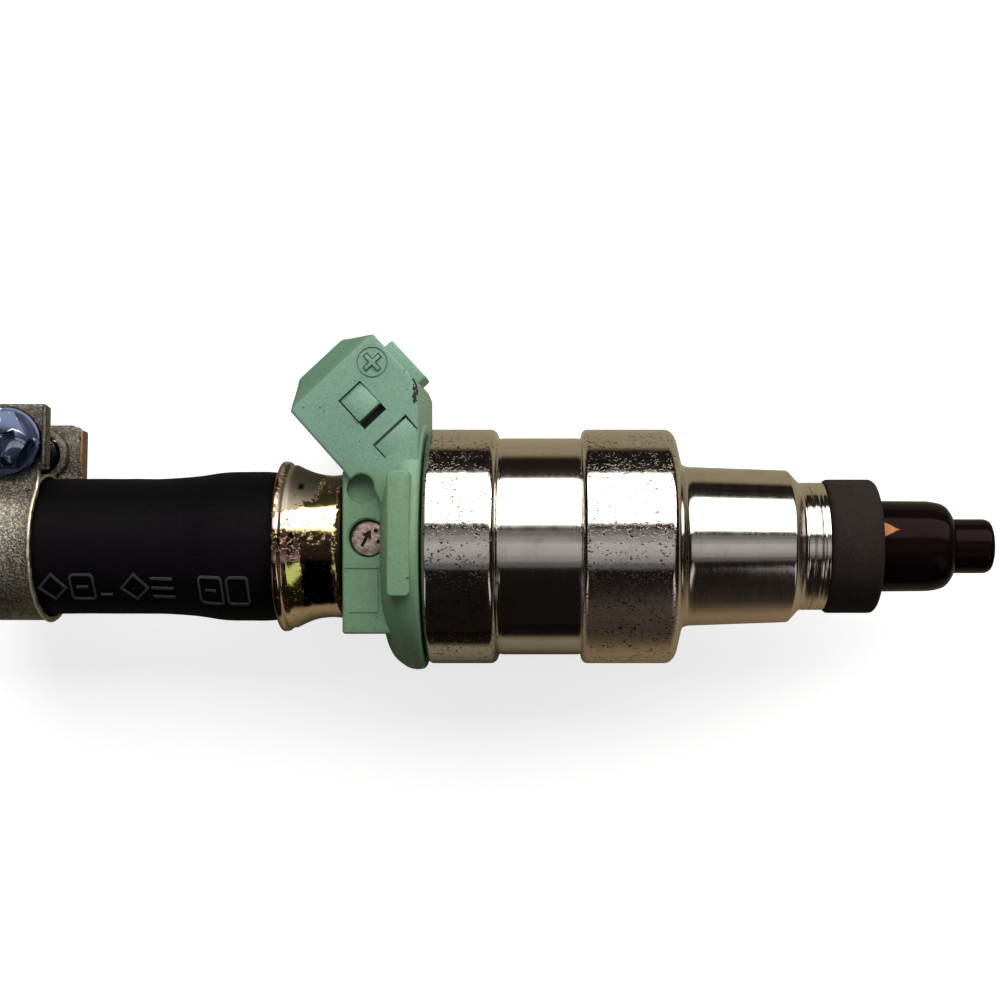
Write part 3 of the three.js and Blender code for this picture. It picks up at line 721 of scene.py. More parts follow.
def yellow_plate():
    """Yellow chromate over zinc, with a bare worn patch; painted shade beside the moulding and in the
    groove, a painted dark reflection below the highlight, a painted floor reflection along the bottom and a
    lip painted bright as a highlight.
    """
    paint = Paint("yellow_plate", (0.6, 0.5, 0.25), roughness=0.2, metallic=1.0)
    colours = chromate_colours(paint)
    ragged = paint.times(paint.noise(900, detail=8, roughness=0.72), 3.2)

    def ragged_area(across, along):
        """A place with a ragged edge: the worn bare patch, the painted shade beside the moulding and the
        painted dark reflection.
        """
        place = paint.times(across, along)
        return paint.span(paint.add(place, ragged), 2.1, 2.16)

    leaning = paint.less(paint.along("Y"), paint.times(paint.along("X"), 0.5))
    patch = ragged_area(paint.span(leaning, 32.2 * MM, 34.2 * MM), paint.band("X", -61.2, -57.3, 0.9))
    # Painted shade: the front end beside the moulding is darkened.
    shade_beside_moulding = ragged_area(paint.band("Y", -12, 12, 1.0), paint.band("X", -55.5, -53.0, 0.5))
    # Painted reflection: a dark ragged area below the highlight.
    dark_reflection = ragged_area(paint.band("Y", -5.7, 0.4, 0.6), paint.band("X", -58.9, -55.9, 0.4))
    dot = paint.times(paint.band("Y", 5.75, 6.35, 0.2), paint.band("X", -59.5, -58.95, 0.2))
    groove = paint.band("X", -61.85, -61.35, 0.2)
    speckle = paint.span(paint.noise(2200, detail=5, roughness=0.7), 0.37, 0.47)
    middle = paint.times(speckle, paint.band("Y", -0.9, 1.6, 0.7))
    pits = paint.span(paint.noise(2400, detail=4, roughness=0.7), 0.62, 0.68)
    dull = paint.larger(pits, middle)
    speckled = paint.mix(dull, colours, (0.07, 0.05, 0.03))
    # Painted reflection: a tan band along the bottom edge, for the floor.
    floor_reflection_painted = paint.mix(paint.slope("Y", -6.3, -5.6, 0.75, 0.0), speckled, (0.85, 0.68, 0.44))
    shade_and_reflection_painted = paint.mix(paint.larger(shade_beside_moulding, dark_reflection), floor_reflection_painted, (0.03, 0.018, 0.012))
    bare = paint.mix(patch, shade_and_reflection_painted, (0.3, 0.25, 0.19))
    beside = paint.band("X", -60.3, -59.0, 0.2)
    flank = paint.times(beside, paint.band("Y", -5.4, -1.4, 0.4))
    greened = paint.mix(paint.times(flank, 0.8), bare, (0.5, 0.6, 0.1))
    shaded = paint.mix(paint.times(groove, 0.8), greened, (0.05, 0.035, 0.02))
    # Painted highlight: the rolled lip is painted nearly white.
    lip = paint.band("X", -64.0, -61.95, 0.1)
    lip_highlighted = paint.mix(lip, shaded, (0.98, 0.92, 0.76))
    paint.colour(paint.mix(dot, lip_highlighted, (0.01, 0.008, 0.008)))
    bright = paint.span(paint.noise(700, detail=4), 0.3, 0.7, 0.06, 0.14)
    worn_and_shade_mask = paint.larger(patch, shade_beside_moulding)
    satin = paint.larger(paint.times(worn_and_shade_mask, 0.5), paint.times(lip, 0.48))
    paint.rough(paint.larger(bright, satin))
    paint.bump(paint.noise(800, detail=5, roughness=0.65), 0.00005, 0.35)
    paint.bump(paint.less(1.0, paint.larger(dull, worn_and_shade_mask)), 0.00005, 0.6)
    return paint


def clamp_steel():
    """Dull zinc plate, mottled and grainy, with a painted highlight along the band's rolled edge, painted
    shade on the ears and the lower side, and a little rust.
    """
    paint = Paint("clamp_steel", (0.52, 0.5, 0.46), roughness=0.4, metallic=1.0)
    mottle = paint.span(paint.noise(1100, detail=7, roughness=0.75), 0.35, 0.65)
    grain = paint.span(paint.noise(4600, detail=3, roughness=0.6), 0.5, 0.58)
    grey = paint.mix(mottle, (0.27, 0.25, 0.21), (0.12, 0.11, 0.095))
    grainy = paint.mix(paint.times(grain, 0.65), grey, (0.72, 0.67, 0.5))
    ears = paint.slope("Y", 6.6, 8.2, 0.0, 0.72)
    under = paint.slope("Y", -6.5, -2.5, 0.6, 0.0)
    shaded = paint.mix(paint.larger(ears, under), grainy, (0.05, 0.042, 0.036))
    # Painted highlight: the band's rolled edge is painted pale, below the ears.
    edge = paint.band("X", CLAMP_CENTRE + 3.05, CLAMP_CENTRE + 3.6, 0.08)
    rim_highlight = paint.times(edge, paint.slope("Y", 6.0, 7.5, 0.85, 0.0))
    rim_highlighted = paint.mix(rim_highlight, shaded, (0.85, 0.78, 0.58))
    rear = paint.slope("Z", -2, 0.0, 1.0, 0.0)
    fold = paint.times(rear, paint.band("X", CLAMP_CENTRE + 4.15, CLAMP_CENTRE + 4.6, 0.08))
    rust = paint.span(paint.noise(520, detail=6, roughness=0.7), 0.6, 0.74)
    stain = paint.larger(paint.times(rust, 0.5), paint.times(fold, mottle))
    paint.colour(paint.mix(stain, rim_highlighted, (0.34, 0.13, 0.06)))
    paint.rough(paint.span(mottle, 0.3, 0.7, 0.28, 0.5))
    paint.bump(mottle, 0.00005, 0.5)
    paint.bump(grain, 0.00003, 0.6)
    return paint


def stamped_metal(face):
    """Stained metal, dark in the marks that are stamped below its face."""
    paint = Paint("stamped_metal", (0.4, 0.3, 0.25), roughness=0.4, metallic=1.0)
    mottle = paint.noise(1500, detail=6, roughness=0.7)
    face_colour = paint.mix(paint.span(mottle, 0.42, 0.6), (0.62, 0.5, 0.42), (0.3, 0.21, 0.16))
    stamped = paint.slope("Z", face - 0.1, face - 0.05, 1.0, 0.0)
    paint.colour(paint.mix(stamped, face_colour, (0.04, 0.028, 0.022)))
    paint.rough(paint.span(mottle, 0.3, 0.7, 0.25, 0.5))
    paint.bump(mottle, 0.0001, 0.7)
    return paint


def screw_steel():
    """Bright zinc plate with a faint blue cast and scuffs, its colour blotched navy and pale blue as a
    painted reflection.
    """
    paint = Paint("screw_steel", (0.66, 0.7, 0.74), roughness=0.2, metallic=1.0)
    # Painted reflection: blotches of dark navy and pale blue in the colour.
    cloud = paint.span(paint.noise(260, detail=2, roughness=0.4, distortion=2.5), 0.36, 0.44)
    base = paint.mix(cloud, (0.34, 0.4, 0.5), (0.05, 0.06, 0.1))
    grime = paint.span(paint.noise(1500, detail=5, roughness=0.7), 0.56, 0.68)
    paint.colour(paint.mix(paint.times(grime, 0.8), base, (0.05, 0.045, 0.04)))
    paint.rough(paint.span(cloud, 0.0, 1.0, 0.12, 0.25))
    paint.bump(cloud, 0.00003, 0.4)
    return paint


def plain_metal(name, light, dark, roughness, fineness=7000):
    """Machined metal with fine turning lines."""
    paint = Paint(name, light, roughness=roughness, metallic=1.0)
    lines = brushed_noise(paint, fineness)
    paint.colour(paint.mix(lines, light, dark))
    paint.rough(paint.span(lines, 0.3, 0.7, roughness * 0.8, roughness * 1.25))
    paint.bump(lines, 0.00001, 0.5)
    return paint


def plain_plastic(name, light, dark, roughness):
    """Moulded plastic or rubber with a fine grain."""
    paint = Paint(name, light, roughness=roughness)
    grain = paint.noise(3600, detail=4, roughness=0.65)
    paint.colour(paint.mix(grain, light, dark))
    paint.rough(paint.span(grain, 0.3, 0.7, roughness * 0.85, min(1.0, roughness * 1.15)))
    paint.bump(grain, 0.00002, 0.4)
    return paint


def copper_wire():
    """Enamelled wire, wound in even turns."""
    paint = Paint("copper", (0.6, 0.25, 0.1), roughness=0.3, metallic=1.0)
    wave = paint.node("ShaderNodeTexWave", bands_direction="X", wave_profile="SIN")
    wave.inputs["Scale"].default_value = 500
    paint.link(paint.place, wave.inputs["Vector"])
    turns = wave.outputs["Fac"]
    paint.colour(paint.mix(turns, (0.22, 0.07, 0.03), (0.7, 0.3, 0.12)))
    paint.rough(paint.span(turns, 0.0, 1.0, 0.45, 0.28))
    paint.bump(turns, 0.0001, 0.8)
    return paint


# ---------------------------------------------------------------- turned pieces

def dented(amount, along, around, inner=0.0):
    """A shape for lathe: shallow dents, by a share of the radius, in what lies outside an inner one."""
    def shape(point, angle):
        if math.hypot(point.y, point.z) <= inner:
            return point
        lump = noise.noise(Vector((point.x * along, math.cos(angle) * around, math.sin(angle) * around)))
        scale = 1 - amount * abs(lump)
        return Vector((point.x, point.y * scale, point.z * scale))
    return shape


def make_hose():
    """The hose stub: swollen over the barbs, squeezed by the clamp and the ferrule, cut off square."""
    outline = filleted([
        (HOSE_BACK, HOSE_BORE, 0.15),
        (HOSE_BACK, HOSE_RADIUS, 0.35),
        (-92.6, HOSE_RADIUS, 0.6),
        (-92.2, HOSE_RADIUS - 0.06, 0.4),
        (-85.6, HOSE_RADIUS - 0.06, 0.4),
        (-85.2, HOSE_RADIUS, 0.6),
        (-73.6, HOSE_RADIUS, 2.0),
        (-70.2, 7.25, 2.2),
        (-67.6, HOSE_SWOLLEN, 2.0),
        (-63.0, HOSE_SWOLLEN, 1.2),
        (-61.4, 7.5, 0.6),
        (-59.6, 6.95, 0.6),
        (-57.9, 6.7, 0.4),
        (HOSE_FRONT, 6.5, 0.2),
        (HOSE_FRONT, 4.93, 0.1),
        (-68, 4.93, 0.5),
        (-72.6, HOSE_BORE, 0.5),
    ])
    # Long stretches get more rings, so that the hose's slight unevenness shows.
    fine = []
    for index, point in enumerate(outline):
        following = Vector(outline[(index + 1) % len(outline)])
        steps = max(1, int((following - Vector(point)).length / 0.8))
        fine += [tuple(Vector(point).lerp(following, step / steps)) for step in range(steps)]
    hose = new_piece("hose", lathe(fine, 128, dented(0.008, 0.22, 1.3, inner=6)))
    settle(hose, hose_rubber(), "hose_rubber", ROOT, "fuel_hose")


def hose_radius(x):
    """The outside of the hose between the clamp and the ferrule."""
    profile = (
        (-95, HOSE_RADIUS), (-74.2, HOSE_RADIUS), (-70.2, 7.27),
        (-67.2, HOSE_SWOLLEN), (-50, HOSE_SWOLLEN),
    )
    for (x0, r0), (x1, r1) in zip(profile, profile[1:]):
        if x0 <= x <= x1:
            return r0 + (r1 - r0) * (x - x0) / (x1 - x0)
    return HOSE_RADIUS


def on_hose(x, around, height):
    """A point on the hose's cover: along it, round it in millimetres from the mark line, and proud."""
    angle = math.radians(35) - around / HOSE_RADIUS
    radius = hose_radius(x) + height
    return Vector((x, -radius * math.sin(angle), radius * math.cos(angle)))


def make_hose_marks():
    """Raised marks along the hose: plain frames, bars and diamonds in place of lettering."""
    line = 0.22
    low, high = -0.3, 0.17
    parts = []
    for x, half_width in ((-80.9, 1.25), (-68.0, 1.25), (-65.3, 1.15)):
        outer = rounded_rectangle(x, 0, half_width, 1.6, 0.5)
        inner = rounded_rectangle(x, 0, half_width - line, 1.6 - line, 0.28)
        parts.append(frame_solid(outer, inner, low, high, on_hose))
    for x in (-75.7, -83.9):
        outer = [(x + 1.5, 0), (x, 1.7), (x - 1.5, 0), (x, -1.7)]
        inner = [(x + 1.18, 0), (x, 1.34), (x - 1.18, 0), (x, -1.34)]
        parts.append(frame_solid(outer, inner, low, high, on_hose))
    bars = ((-80.9, 0.1, 0.6), (-78.6, -0.9, 0.6), (-72.9, 1.1, 1.1), (-72.9, 0.0, 1.1), (-72.9, -1.1, 1.1),
            (-68.0, 0.1, 0.55))
    for x, around, half_width in bars:
        bar = rectangle(x - half_width, x + half_width, around - line / 2, around + line / 2)
        parts.append(solid_prism(bar, low, high, 0, on_hose))
    marks = new_piece("hose_marks", gathered(parts))
    paint = plain_plastic("hose_marks", (0.07, 0.072, 0.082), (0.015, 0.015, 0.018), 0.24)
    settle(marks, paint, "hose_rubber", ROOT)


def make_ferrule():
    """The crimped cup round the hose, with a rolled lip and a shallow groove beside it."""
    back = FERRULE_BACK
    front = FERRULE_FRONT
    outline = filleted([
        (back + 0.35, 8.05, 0.1),
        (back, 8.3, 0.25),
        (back + 0.12, FERRULE_RADIUS, 0.35),
        (back + 0.75, FERRULE_RADIUS - 0.05, 0.3),
        (back + 1.05, 8.38, 0.15),
        (back + 1.45, 8.42, 0.3),
        (back + 2.3, 7.98, 0.6),
        (back + 3.2, 7.62, 0.7),
        (back + 4.1, 7.4, 0.7),
        (back + 5.1, 7.3, 0.5),
        (back + 6.2, 7.4, 0.5),
        (front, 7.5, 0.35),
        (front, TUBE_RADIUS + 0.1, 0.15),
        (front - 0.6, TUBE_RADIUS + 0.1, 0.15),
        (front - 0.6, 6.66, 0.2),
        (back + 4.3, 6.78, 0.5),
        (back + 2.3, 7.32, 0.5),
        (back + 1.3, 7.75, 0.4),
    ])
    ferrule = new_piece("ferrule", lathe(outline, shape=dented(0.006, 0.4, 2)))
    settle(ferrule, yellow_plate(), "yellow_plate", ROOT, "hose_ferrule")


def make_housing():
    """The casing: two rings with a waist between, a tapering neck and a grooved end."""
    back = CASE_BACK
    front = CASE_FRONT
    ring = RING_RADIUS
    outline = [
        (back, 9.4, 0.1),
        (back, ring - 0.3, 0.15),
        (back + 0.3, ring, 0.25),
        (-40.15, ring, 0.35),
        (-39.72, ring - 0.3, 0.3),
        (-39.55, WAIST_RADIUS + 0.05, 0.12),
        (-39.4, WAIST_RADIUS - 0.06, 0.08),
        (-39.1, WAIST_RADIUS, 0.1),
        (-31.5, WAIST_RADIUS, 0.1),
        (-31.2, WAIST_RADIUS - 0.05, 0.08),
        (-31.05, ring - 0.3, 0.15),
        (-30.7, ring, 0.3),
        (-22.2, ring, 0.45),
        (-21.6, 11.45, 0.4),
        (-21.0, 9.0, 0.3),
        (-20.75, 8.4, 0.3),
        (-20.2, 8.2, 0.4),
        (-9.95, 7.84, 0.18),
        (-8.95, 6.75, 0.12),
        (-8.7, 6.58, 0.1),
    ]
    for start, depth in ((-8.5, 0.05), (-7.85, 0.16), (-7.15, 0.07), (-6.75, 0.05)):
        outline += [
            (start - 0.12, 6.58, 0.03),
            (start, 6.58 - depth, 0.02),
            (start + 0.12, 6.58, 0.03),
        ]
    outline += [
        (front, 6.58, 0.08),
        (front, 4.5, 0.05),
        (-8.6, 4.5, 0.05),
        (-8.6, 5.9, 0.05),
        (-19.9, 5.9, 0.05),
        (-19.9, 4.5, 0.05),
        (-24.5, 4.5, 0.05),
        (-24.5, 10.2, 0.05),
        (-45.6, 10.2, 0.05),
        (-45.6, 9.4, 0.05),
    ]
    housing = new_piece("housing", lathe(filleted(outline, 4), 192))
    settle(housing, plated_steel(), "plated_steel", ROOT, "steel_housing")


def make_seal():
    """The manifold's rubber ring, chamfered at the front and a little rough."""
    outline = filleted([
        (SEAL_BACK, 4.28, 0.1),
        (SEAL_BACK, SEAL_RADIUS - 0.3, 0.2),
        (SEAL_BACK + 0.3, SEAL_RADIUS, 0.2),
        (SEAL_FRONT - 0.35, SEAL_RADIUS, 0.25),
        (SEAL_FRONT, SEAL_RADIUS - 0.35, 0.2),
        (SEAL_FRONT, 4.78, 0.1),
        (CAP_BACK - 0.08, 4.78, 0.05),
        (CAP_BACK - 0.08, 4.28, 0.05),
    ])
    seal = new_piece("seal_ring", lathe(outline, shape=dented(0.005, 1.2, 7)))
    settle(seal, cushion_rubber(), "cushion_rubber", ROOT, "manifold_seal")


def make_cap():
    """The cap over the nozzle, with its rounded shoulder and the chimney."""
    outline = filleted([
        (CAP_BACK, 3.68, 0.05),
        (CAP_BACK, CAP_RADIUS, 0.15),
        (4.9, CAP_RADIUS - 0.05, 0.8),
        (6.3, 4.3, 0.9),
        (6.95, 3.4, 0.5),
        (7.0, 2.8, 0.1),
        (CAP_FRONT - 0.55, 2.8, 0.4),
        (CAP_FRONT - 0.05, 2.55, 0.3),
        (CAP_FRONT, 2.1, 0.25),
        (CAP_FRONT - 0.15, 1.62, 0.15),
        (5.9, 1.6, 0.05),
        (5.9, 3.68, 0.05),
    ])
    cap = new_piece("nozzle_cap", lathe(outline))
    settle(cap, cap_plastic(), "cap_plastic", ROOT, "pintle_cap")


# ---------------------------------------------------------------- the green moulding

def root_outline():
    """The connector's root: the leaning sides, the straight front, and the notched step below."""
    end = SOCKET_MOUTH + 0.5
    points = [in_socket(SOCKET_MIDDLE - SOCKET_HALF_THICKNESS, end, 0).xy]
    points.append(Vector((-54.55, 7.6)))
    for step in range(9):
        angle = math.radians(152 - 20 * step)
        points.append(Vector((-52.7 + 1.2 * math.cos(angle), 5.95 + 1.2 * math.sin(angle))))
    points.append(Vector((-50.6, 3.6)))
    points.append(Vector((-47.15, 2.6)))
    points.append(Vector((-47.15, 15.6)))
    points.append(in_socket(SOCKET_MIDDLE + SOCKET_HALF_THICKNESS, 44.5, 0).xy)
    points.append(in_socket(SOCKET_MIDDLE + SOCKET_HALF_THICKNESS, end, 0).xy)
    return [(point.x, point.y) for point in points]


def socket_section(along, half_across, half_z, corner):
    """One ring round the socket's axis, at a distance along it."""
    outline = rounded_rectangle(SOCKET_MIDDLE, 0, half_across, half_z, corner)
    return [in_socket(across, along, z) for across, z in outline]


def mouth_shape():
    """A solid that holds everything below the mouth, and narrows past it like the mouth's rim."""
    def rim(along, across_inset, z_inset, corner):
        half_across = SOCKET_HALF_THICKNESS - across_inset
        return socket_section(along, half_across, SOCKET_HALF_WIDTH - z_inset, corner)

    return loft([
        socket_section(10.0, 60, 60, 2),
        socket_section(49.2, 60, 60, 2),
        rim(49.25, -1.0, -1.0, 0.6),
        rim(50.4, -0.02, -0.02, 0.5),
        rim(50.75, 0.45, 0.15, 0.5),
        rim(51.16, 1.0, 0.5, 0.7),
        rim(51.55, 1.5, 0.85, 0.8),
        rim(51.85, 1.9, 1.12, 0.8),
        rim(52.1, 2.2, 1.28, 0.9),
        rim(SOCKET_MOUTH, 2.4, 1.45, 0.9),
    ])


def cavity():
    """The space in the shroud, flared at its mouth."""
    half_across = 2.95
    half_z = 7.5
    return loft([
        socket_section(SOCKET_FLOOR, half_across - 0.25, half_z - 0.25, 0.6),
        socket_section(SOCKET_FLOOR + 0.3, half_across, half_z, 0.8),
        socket_section(SOCKET_MOUTH - 0.4, half_across, half_z, 0.8),
        socket_section(SOCKET_MOUTH + 0.3, half_across + 0.12, half_z + 0.3, 1.0),
    ])


def add_flange(moulding):
    """The round flange against the casing."""
    outline = filleted([
        (-50.9, 3.0, 0.1),
        (-50.9, 9.9, 0.9),
        (-50.1, 11.6, 1.2),
        (-48.7, 12.55, 1.0),
        (-47.85, 12.7, 0.4),
        (-47.2, 12.6, 0.3),
        (MOULD_FRONT, 12.35, 0.15),
        (MOULD_FRONT, 3.0, 0.1),
    ])
    join(moulding, lathe(outline, 192))


def add_latches(moulding):
    """On each side, a square pocket with a ramp in it that ends in a drop, for a plug's wire clip."""
    for side in (-1, 1):
        face = side * SOCKET_HALF_WIDTH
        pocket = rectangle(44.13, 47.93, *sorted((face - side * 1.25, face + side * 1)))
        cut(moulding, solid_prism(pocket, SOCKET_MIDDLE - 1.43, SOCKET_MIDDLE + 1.47, 0, socket_side))
        ramp = [(47.85, face - side * 1.6), (47.85, face - side * 0.28), (45.3, face + side * 0.33),
                (44.98, face + side * 0.33), (44.93, face - side * 1.6)]
        join(moulding, solid_prism(ramp, SOCKET_MIDDLE - 1.3, SOCKET_MIDDLE + 1.4, 0.06, socket_side, 2))


def add_side_panels(moulding):
    """The sunk tab below each latch, with a deep gap at its end."""
    for side in (-1, 1):
        face = side * SOCKET_HALF_WIDTH
        low, high = sorted((face - side * 0.8, face + side * 1))
        panel = [(-30.9, 40.7), (-26.6, 40.7), (-26.5, 42.5), (-30.9, 42.5)]
        cut(moulding, solid_prism(panel, low, high, 0, in_socket))
        step = [(-30.78, 40.5), (-26.75, 40.5), (-26.75, 42.24), (-30.78, 42.24)]
        low, high = sorted((face - side * 1.1, face - side * 0.08))
        join(moulding, solid_prism(step, low, high, 0.05, in_socket, 2))


def add_polarity_mark(moulding):
    """A plus in a fine ring, the plain sign for a positive terminal."""
    centre = Matrix.Rotation(-SOCKET_TILT, 3, "Z") @ Vector((-51.63, 18.05, 0))
    face = SOCKET_HALF_WIDTH
    outer = round_outline(centre.x, centre.y, 1.52)
    inner = round_outline(centre.x, centre.y, 1.38)
    cut(moulding, frame_solid(outer, inner, face - 0.16, face + 1, in_socket))

    def plus(grown):
        arm = 0.95 + grown
        half = 0.17 + grown
        corners = ((arm, half), (half, half), (half, arm), (-half, arm), (-half, half), (-arm, half),
                   (-arm, -half), (-half, -half), (-half, -arm), (half, -arm), (half, -half), (arm, -half))
        return [(centre.x + across, centre.y + along) for across, along in corners]

    cut(moulding, solid_prism(plus(0.12), face - 0.24, face + 1, 0, in_socket))
    join(moulding, solid_prism(plus(0), face - 0.45, face + 0.2, 0.04, in_socket, 2))


def add_key(moulding):
    """The long rib on the shroud's outer side that keys the plug."""
    top = SOCKET_MIDDLE + SOCKET_HALF_THICKNESS
    rib = rectangle(top - 1, top + 0.98, 44.6, 49.7)
    join(moulding, solid_prism(rib, -3, 3, 0.25, in_socket))


def add_block_details(moulding):
    """The round window with its shallow rim, a round hollow, and the faint lines of a mould insert."""
    face = BLOCK_FACE
    cut(moulding, rod(MARK_X, MARK_Y, 1.9, face - 1.6, face + 1))
    cut(moulding, rod(MARK_X, MARK_Y, 2.05, face - 0.14, face + 1))
    cut(moulding, rod(-52.75, 5.75, 1.5, face - 0.85, face + 0.6))
    line = 0.09
    left, right, high, low = MOULD_BACK - 1, -51.1, -2.1, -6.45
    grooves = (
        rectangle(left, right, high - line, high + line),
        rectangle(right - line, right + line, low, high),
        rectangle(left + 1.7, right, low - line, low + line),
    )
    for groove in grooves:
        cut(moulding, solid_prism(groove, face - 0.12, face + 1, 0, in_plan))


def add_bars(moulding):
    """A raised bar across each side of the flange, with round lower corners."""
    for side in (-1, 1):
        outline = rounded_rectangle(-48.8, 1.4, 1.1, 6.0, 0.5)
        low, high = sorted((side * 10.2, side * 12.8))
        join(moulding, solid_prism(outline, low, high, 0.18, in_plan))


def cut_terminal_slots(moulding):
    """A slot in the socket's floor round each blade."""
    for z in (-2.5, 2.5):
        slot = rectangle(SOCKET_MIDDLE - 1.52, SOCKET_MIDDLE + 1.52, 38.5, SOCKET_FLOOR + 2)
        cut(moulding, solid_prism(slot, z - 0.52, z + 0.52, 0, in_socket))


def make_moulding():
    """The green moulding, in one piece."""
    block = rectangle(MOULD_BACK, MOULD_FRONT - 1.2, -8.5, 7.6)
    moulding = new_piece("moulding", solid_prism(block, -BLOCK_FACE, BLOCK_FACE, 0.3, in_plan))
    root = solid_prism(root_outline(), -SOCKET_HALF_WIDTH, SOCKET_HALF_WIDTH, 0.36, in_plan)
    connector = new_piece("connector", root)
    keep_inside(connector, mouth_shape())
    join_piece(moulding, connector)
    add_flange(moulding)
    add_bars(moulding)
    add_key(moulding)
    cut(moulding, cavity())
    cut(moulding, rod_along(MOULD_BACK - 1, MOULD_FRONT + 1, TUBE_RADIUS + 0.1))
    add_latches(moulding)
    add_side_panels(moulding)
    add_polarity_mark(moulding)
    add_block_details(moulding)
    cut_terminal_slots(moulding)
    settle(moulding, green_plastic(), "green_plastic", ROOT, "connector_moulding")


def make_marking_disc():
    """The stained disc in the window, with a plain stamped arrow and two dots."""
    face = 7.28
    depth = 0.28
    blank = solid_prism(round_outline(MARK_X, MARK_Y, 1.74), face - 0.6, face, 0.12, in_plan)
    disc = new_piece("marking_disc_face", blank)
    arrow = (
        (-0.95, -0.16), (0.1, -0.16), (0.1, -0.55), (0.95, 0.0),
        (0.1, 0.55), (0.1, 0.16), (-0.95, 0.16),
    )
    turn = Matrix.Rotation(math.radians(62), 2)
    placed = [turn @ Vector(point) + Vector((MARK_X - 0.25, MARK_Y)) for point in arrow]
    cut(disc, solid_prism([(point.x, point.y) for point in placed], face - depth, face + 1, 0, in_plan))
    for x, y in ((0.7, 0.75), (0.95, -0.35)):
        cut(disc, rod(MARK_X + x, MARK_Y + y, 0.22, face - depth, face + 1, 16))
    settle(disc, stamped_metal(face), "dark_metal", ROOT, "marking_disc")


# ---------------------------------------------------------------- the clamp

def in_clamp(mesh_bm, along=0.0, height=0.0):
    """Turns a solid made about the clamp's own axes to where the clamp is."""
    place = Matrix.Translation((CLAMP_CENTRE, 0, 0)) @ Matrix.Rotation(CLAMP_TILT, 4, "X")
    bmesh.ops.transform(mesh_bm, matrix=place @ Matrix.Translation((along, height, 0)), verts=mesh_bm.verts)
    return mesh_bm


def band_section(half_width, sheet):
    """The band's cross section as (x, height) points: flat inside, its edges rolled up."""
    lift = 0.22
    return [
        (-half_width, lift), (-half_width + 0.5, 0.02), (half_width - 0.5, 0.02), (half_width, lift),
        (half_width, lift + sheet * 0.8), (half_width - 0.15, lift + sheet),
        (half_width - 0.6, sheet), (-half_width + 0.6, sheet),
        (-half_width + 0.15, lift + sheet), (-half_width, lift + sheet * 0.8),
    ]


def sweep(path, section):
    """A strip: a section of (x, height) points carried along (y, z, normal) stations."""
    rings = []
    for point, normal in path:
        rings.append([Vector((x, *(point + normal * height))) for x, height in section])
    return loft(rings)


def band_path():
    """The band's path in Y and Z: down one ear, round the hose and up the other."""
    inner = 7.08
    path = []
    start = math.asin(FRONT_EAR / inner)
    end = 2 * math.pi + math.asin(REAR_EAR / inner)
    bend = 0.32
    path.append((Vector((8.0, FRONT_EAR)), Vector((0, 1))))
    path.append((Vector((7.2, FRONT_EAR)), Vector((0, 1))))
    path.append((Vector((6.5, FRONT_EAR)), Vector((0.15, 1)).normalized()))
    steps = 72
    for step in range(steps + 1):
        angle = start + bend * 0.4 + (end - start - bend * 0.8) * step / steps
        outward = Vector((math.cos(angle), math.sin(angle)))
        path.append((outward * inner, outward))
    path.append((Vector((5.6, REAR_EAR)), Vector((0.15, -1)).normalized()))
    path.append((Vector((6.6, REAR_EAR)), Vector((0, -1))))
    path.append((Vector((8.0, REAR_EAR)), Vector((0, -1))))
    return path


def ear(inner, away, top, half_width, sheet, fold):
    """One ear as a folded channel, with its corners rounded."""
    low = 7.4
    outline = [(-half_width, low), (half_width, low), (half_width, top - 0.5), (half_width - 0.5, top),
               (-half_width + 0.5, top), (-half_width, top - 0.5)]
    faces = sorted((inner, inner + away * sheet))
    plate = solid_prism(outline, faces[0], faces[1], 0.12, in_plan, 2)
    lips = []
    for side in (-1, 1):
        edges = sorted((side * half_width, side * (half_width - sheet)))
        reach = sorted((inner, inner + away * fold))
        lips.append(solid_prism(rectangle(edges[0], edges[1], low + 0.3, top - 0.3),
                                reach[0], reach[1], 0.2, in_plan, 3))
    return plate, lips


def make_clamp_band():
    """The band with its two folded ears, and the raised boss round the screw."""
    band = new_piece("band", in_clamp(sweep(band_path(), band_section(3.3, 0.55))))
    front_ear = ear(FRONT_EAR, 1, 14.1, 4.15, 0.45, 1.6)
    rear_ear = ear(REAR_EAR, -1, 13.2, 4.4, REAR_EAR_SHEET, 2.0)
    for plate, lips in (front_ear, rear_ear):
        join(band, in_clamp(plate))
        for lip in lips:
            join(band, in_clamp(lip))
    boss = solid_prism(round_outline(0, SCREW_HEIGHT, 3.05), -5.6, -4.6, 0.45, in_plan)
    join(band, in_clamp(boss))
    cut(band, in_clamp(rod(0, SCREW_HEIGHT, 2.25, -8, 7)))
    settle(band, clamp_steel(), "clamp_steel", ROOT, "clamp_band")


def make_tongue():
    """The thin tongue that closes the band's gap next to the hose."""
    path = []
    for step in range(25):
        angle = math.radians(38 - 74 * step / 24)
        outward = Vector((math.cos(angle), math.sin(angle)))
        path.append((outward * 7.1, outward))
    section = [(-2.9, 0.03), (2.9, 0.03), (3.0, 0.18), (2.9, 0.34), (-2.9, 0.34), (-3.0, 0.18)]
    tongue = new_piece("band_tongue", in_clamp(sweep(path, section)))
    paint = plain_metal("tongue_steel", (0.5, 0.47, 0.42), (0.26, 0.23, 0.2), 0.35, 1200)
    settle(tongue, paint, "clamp_steel", ROOT)


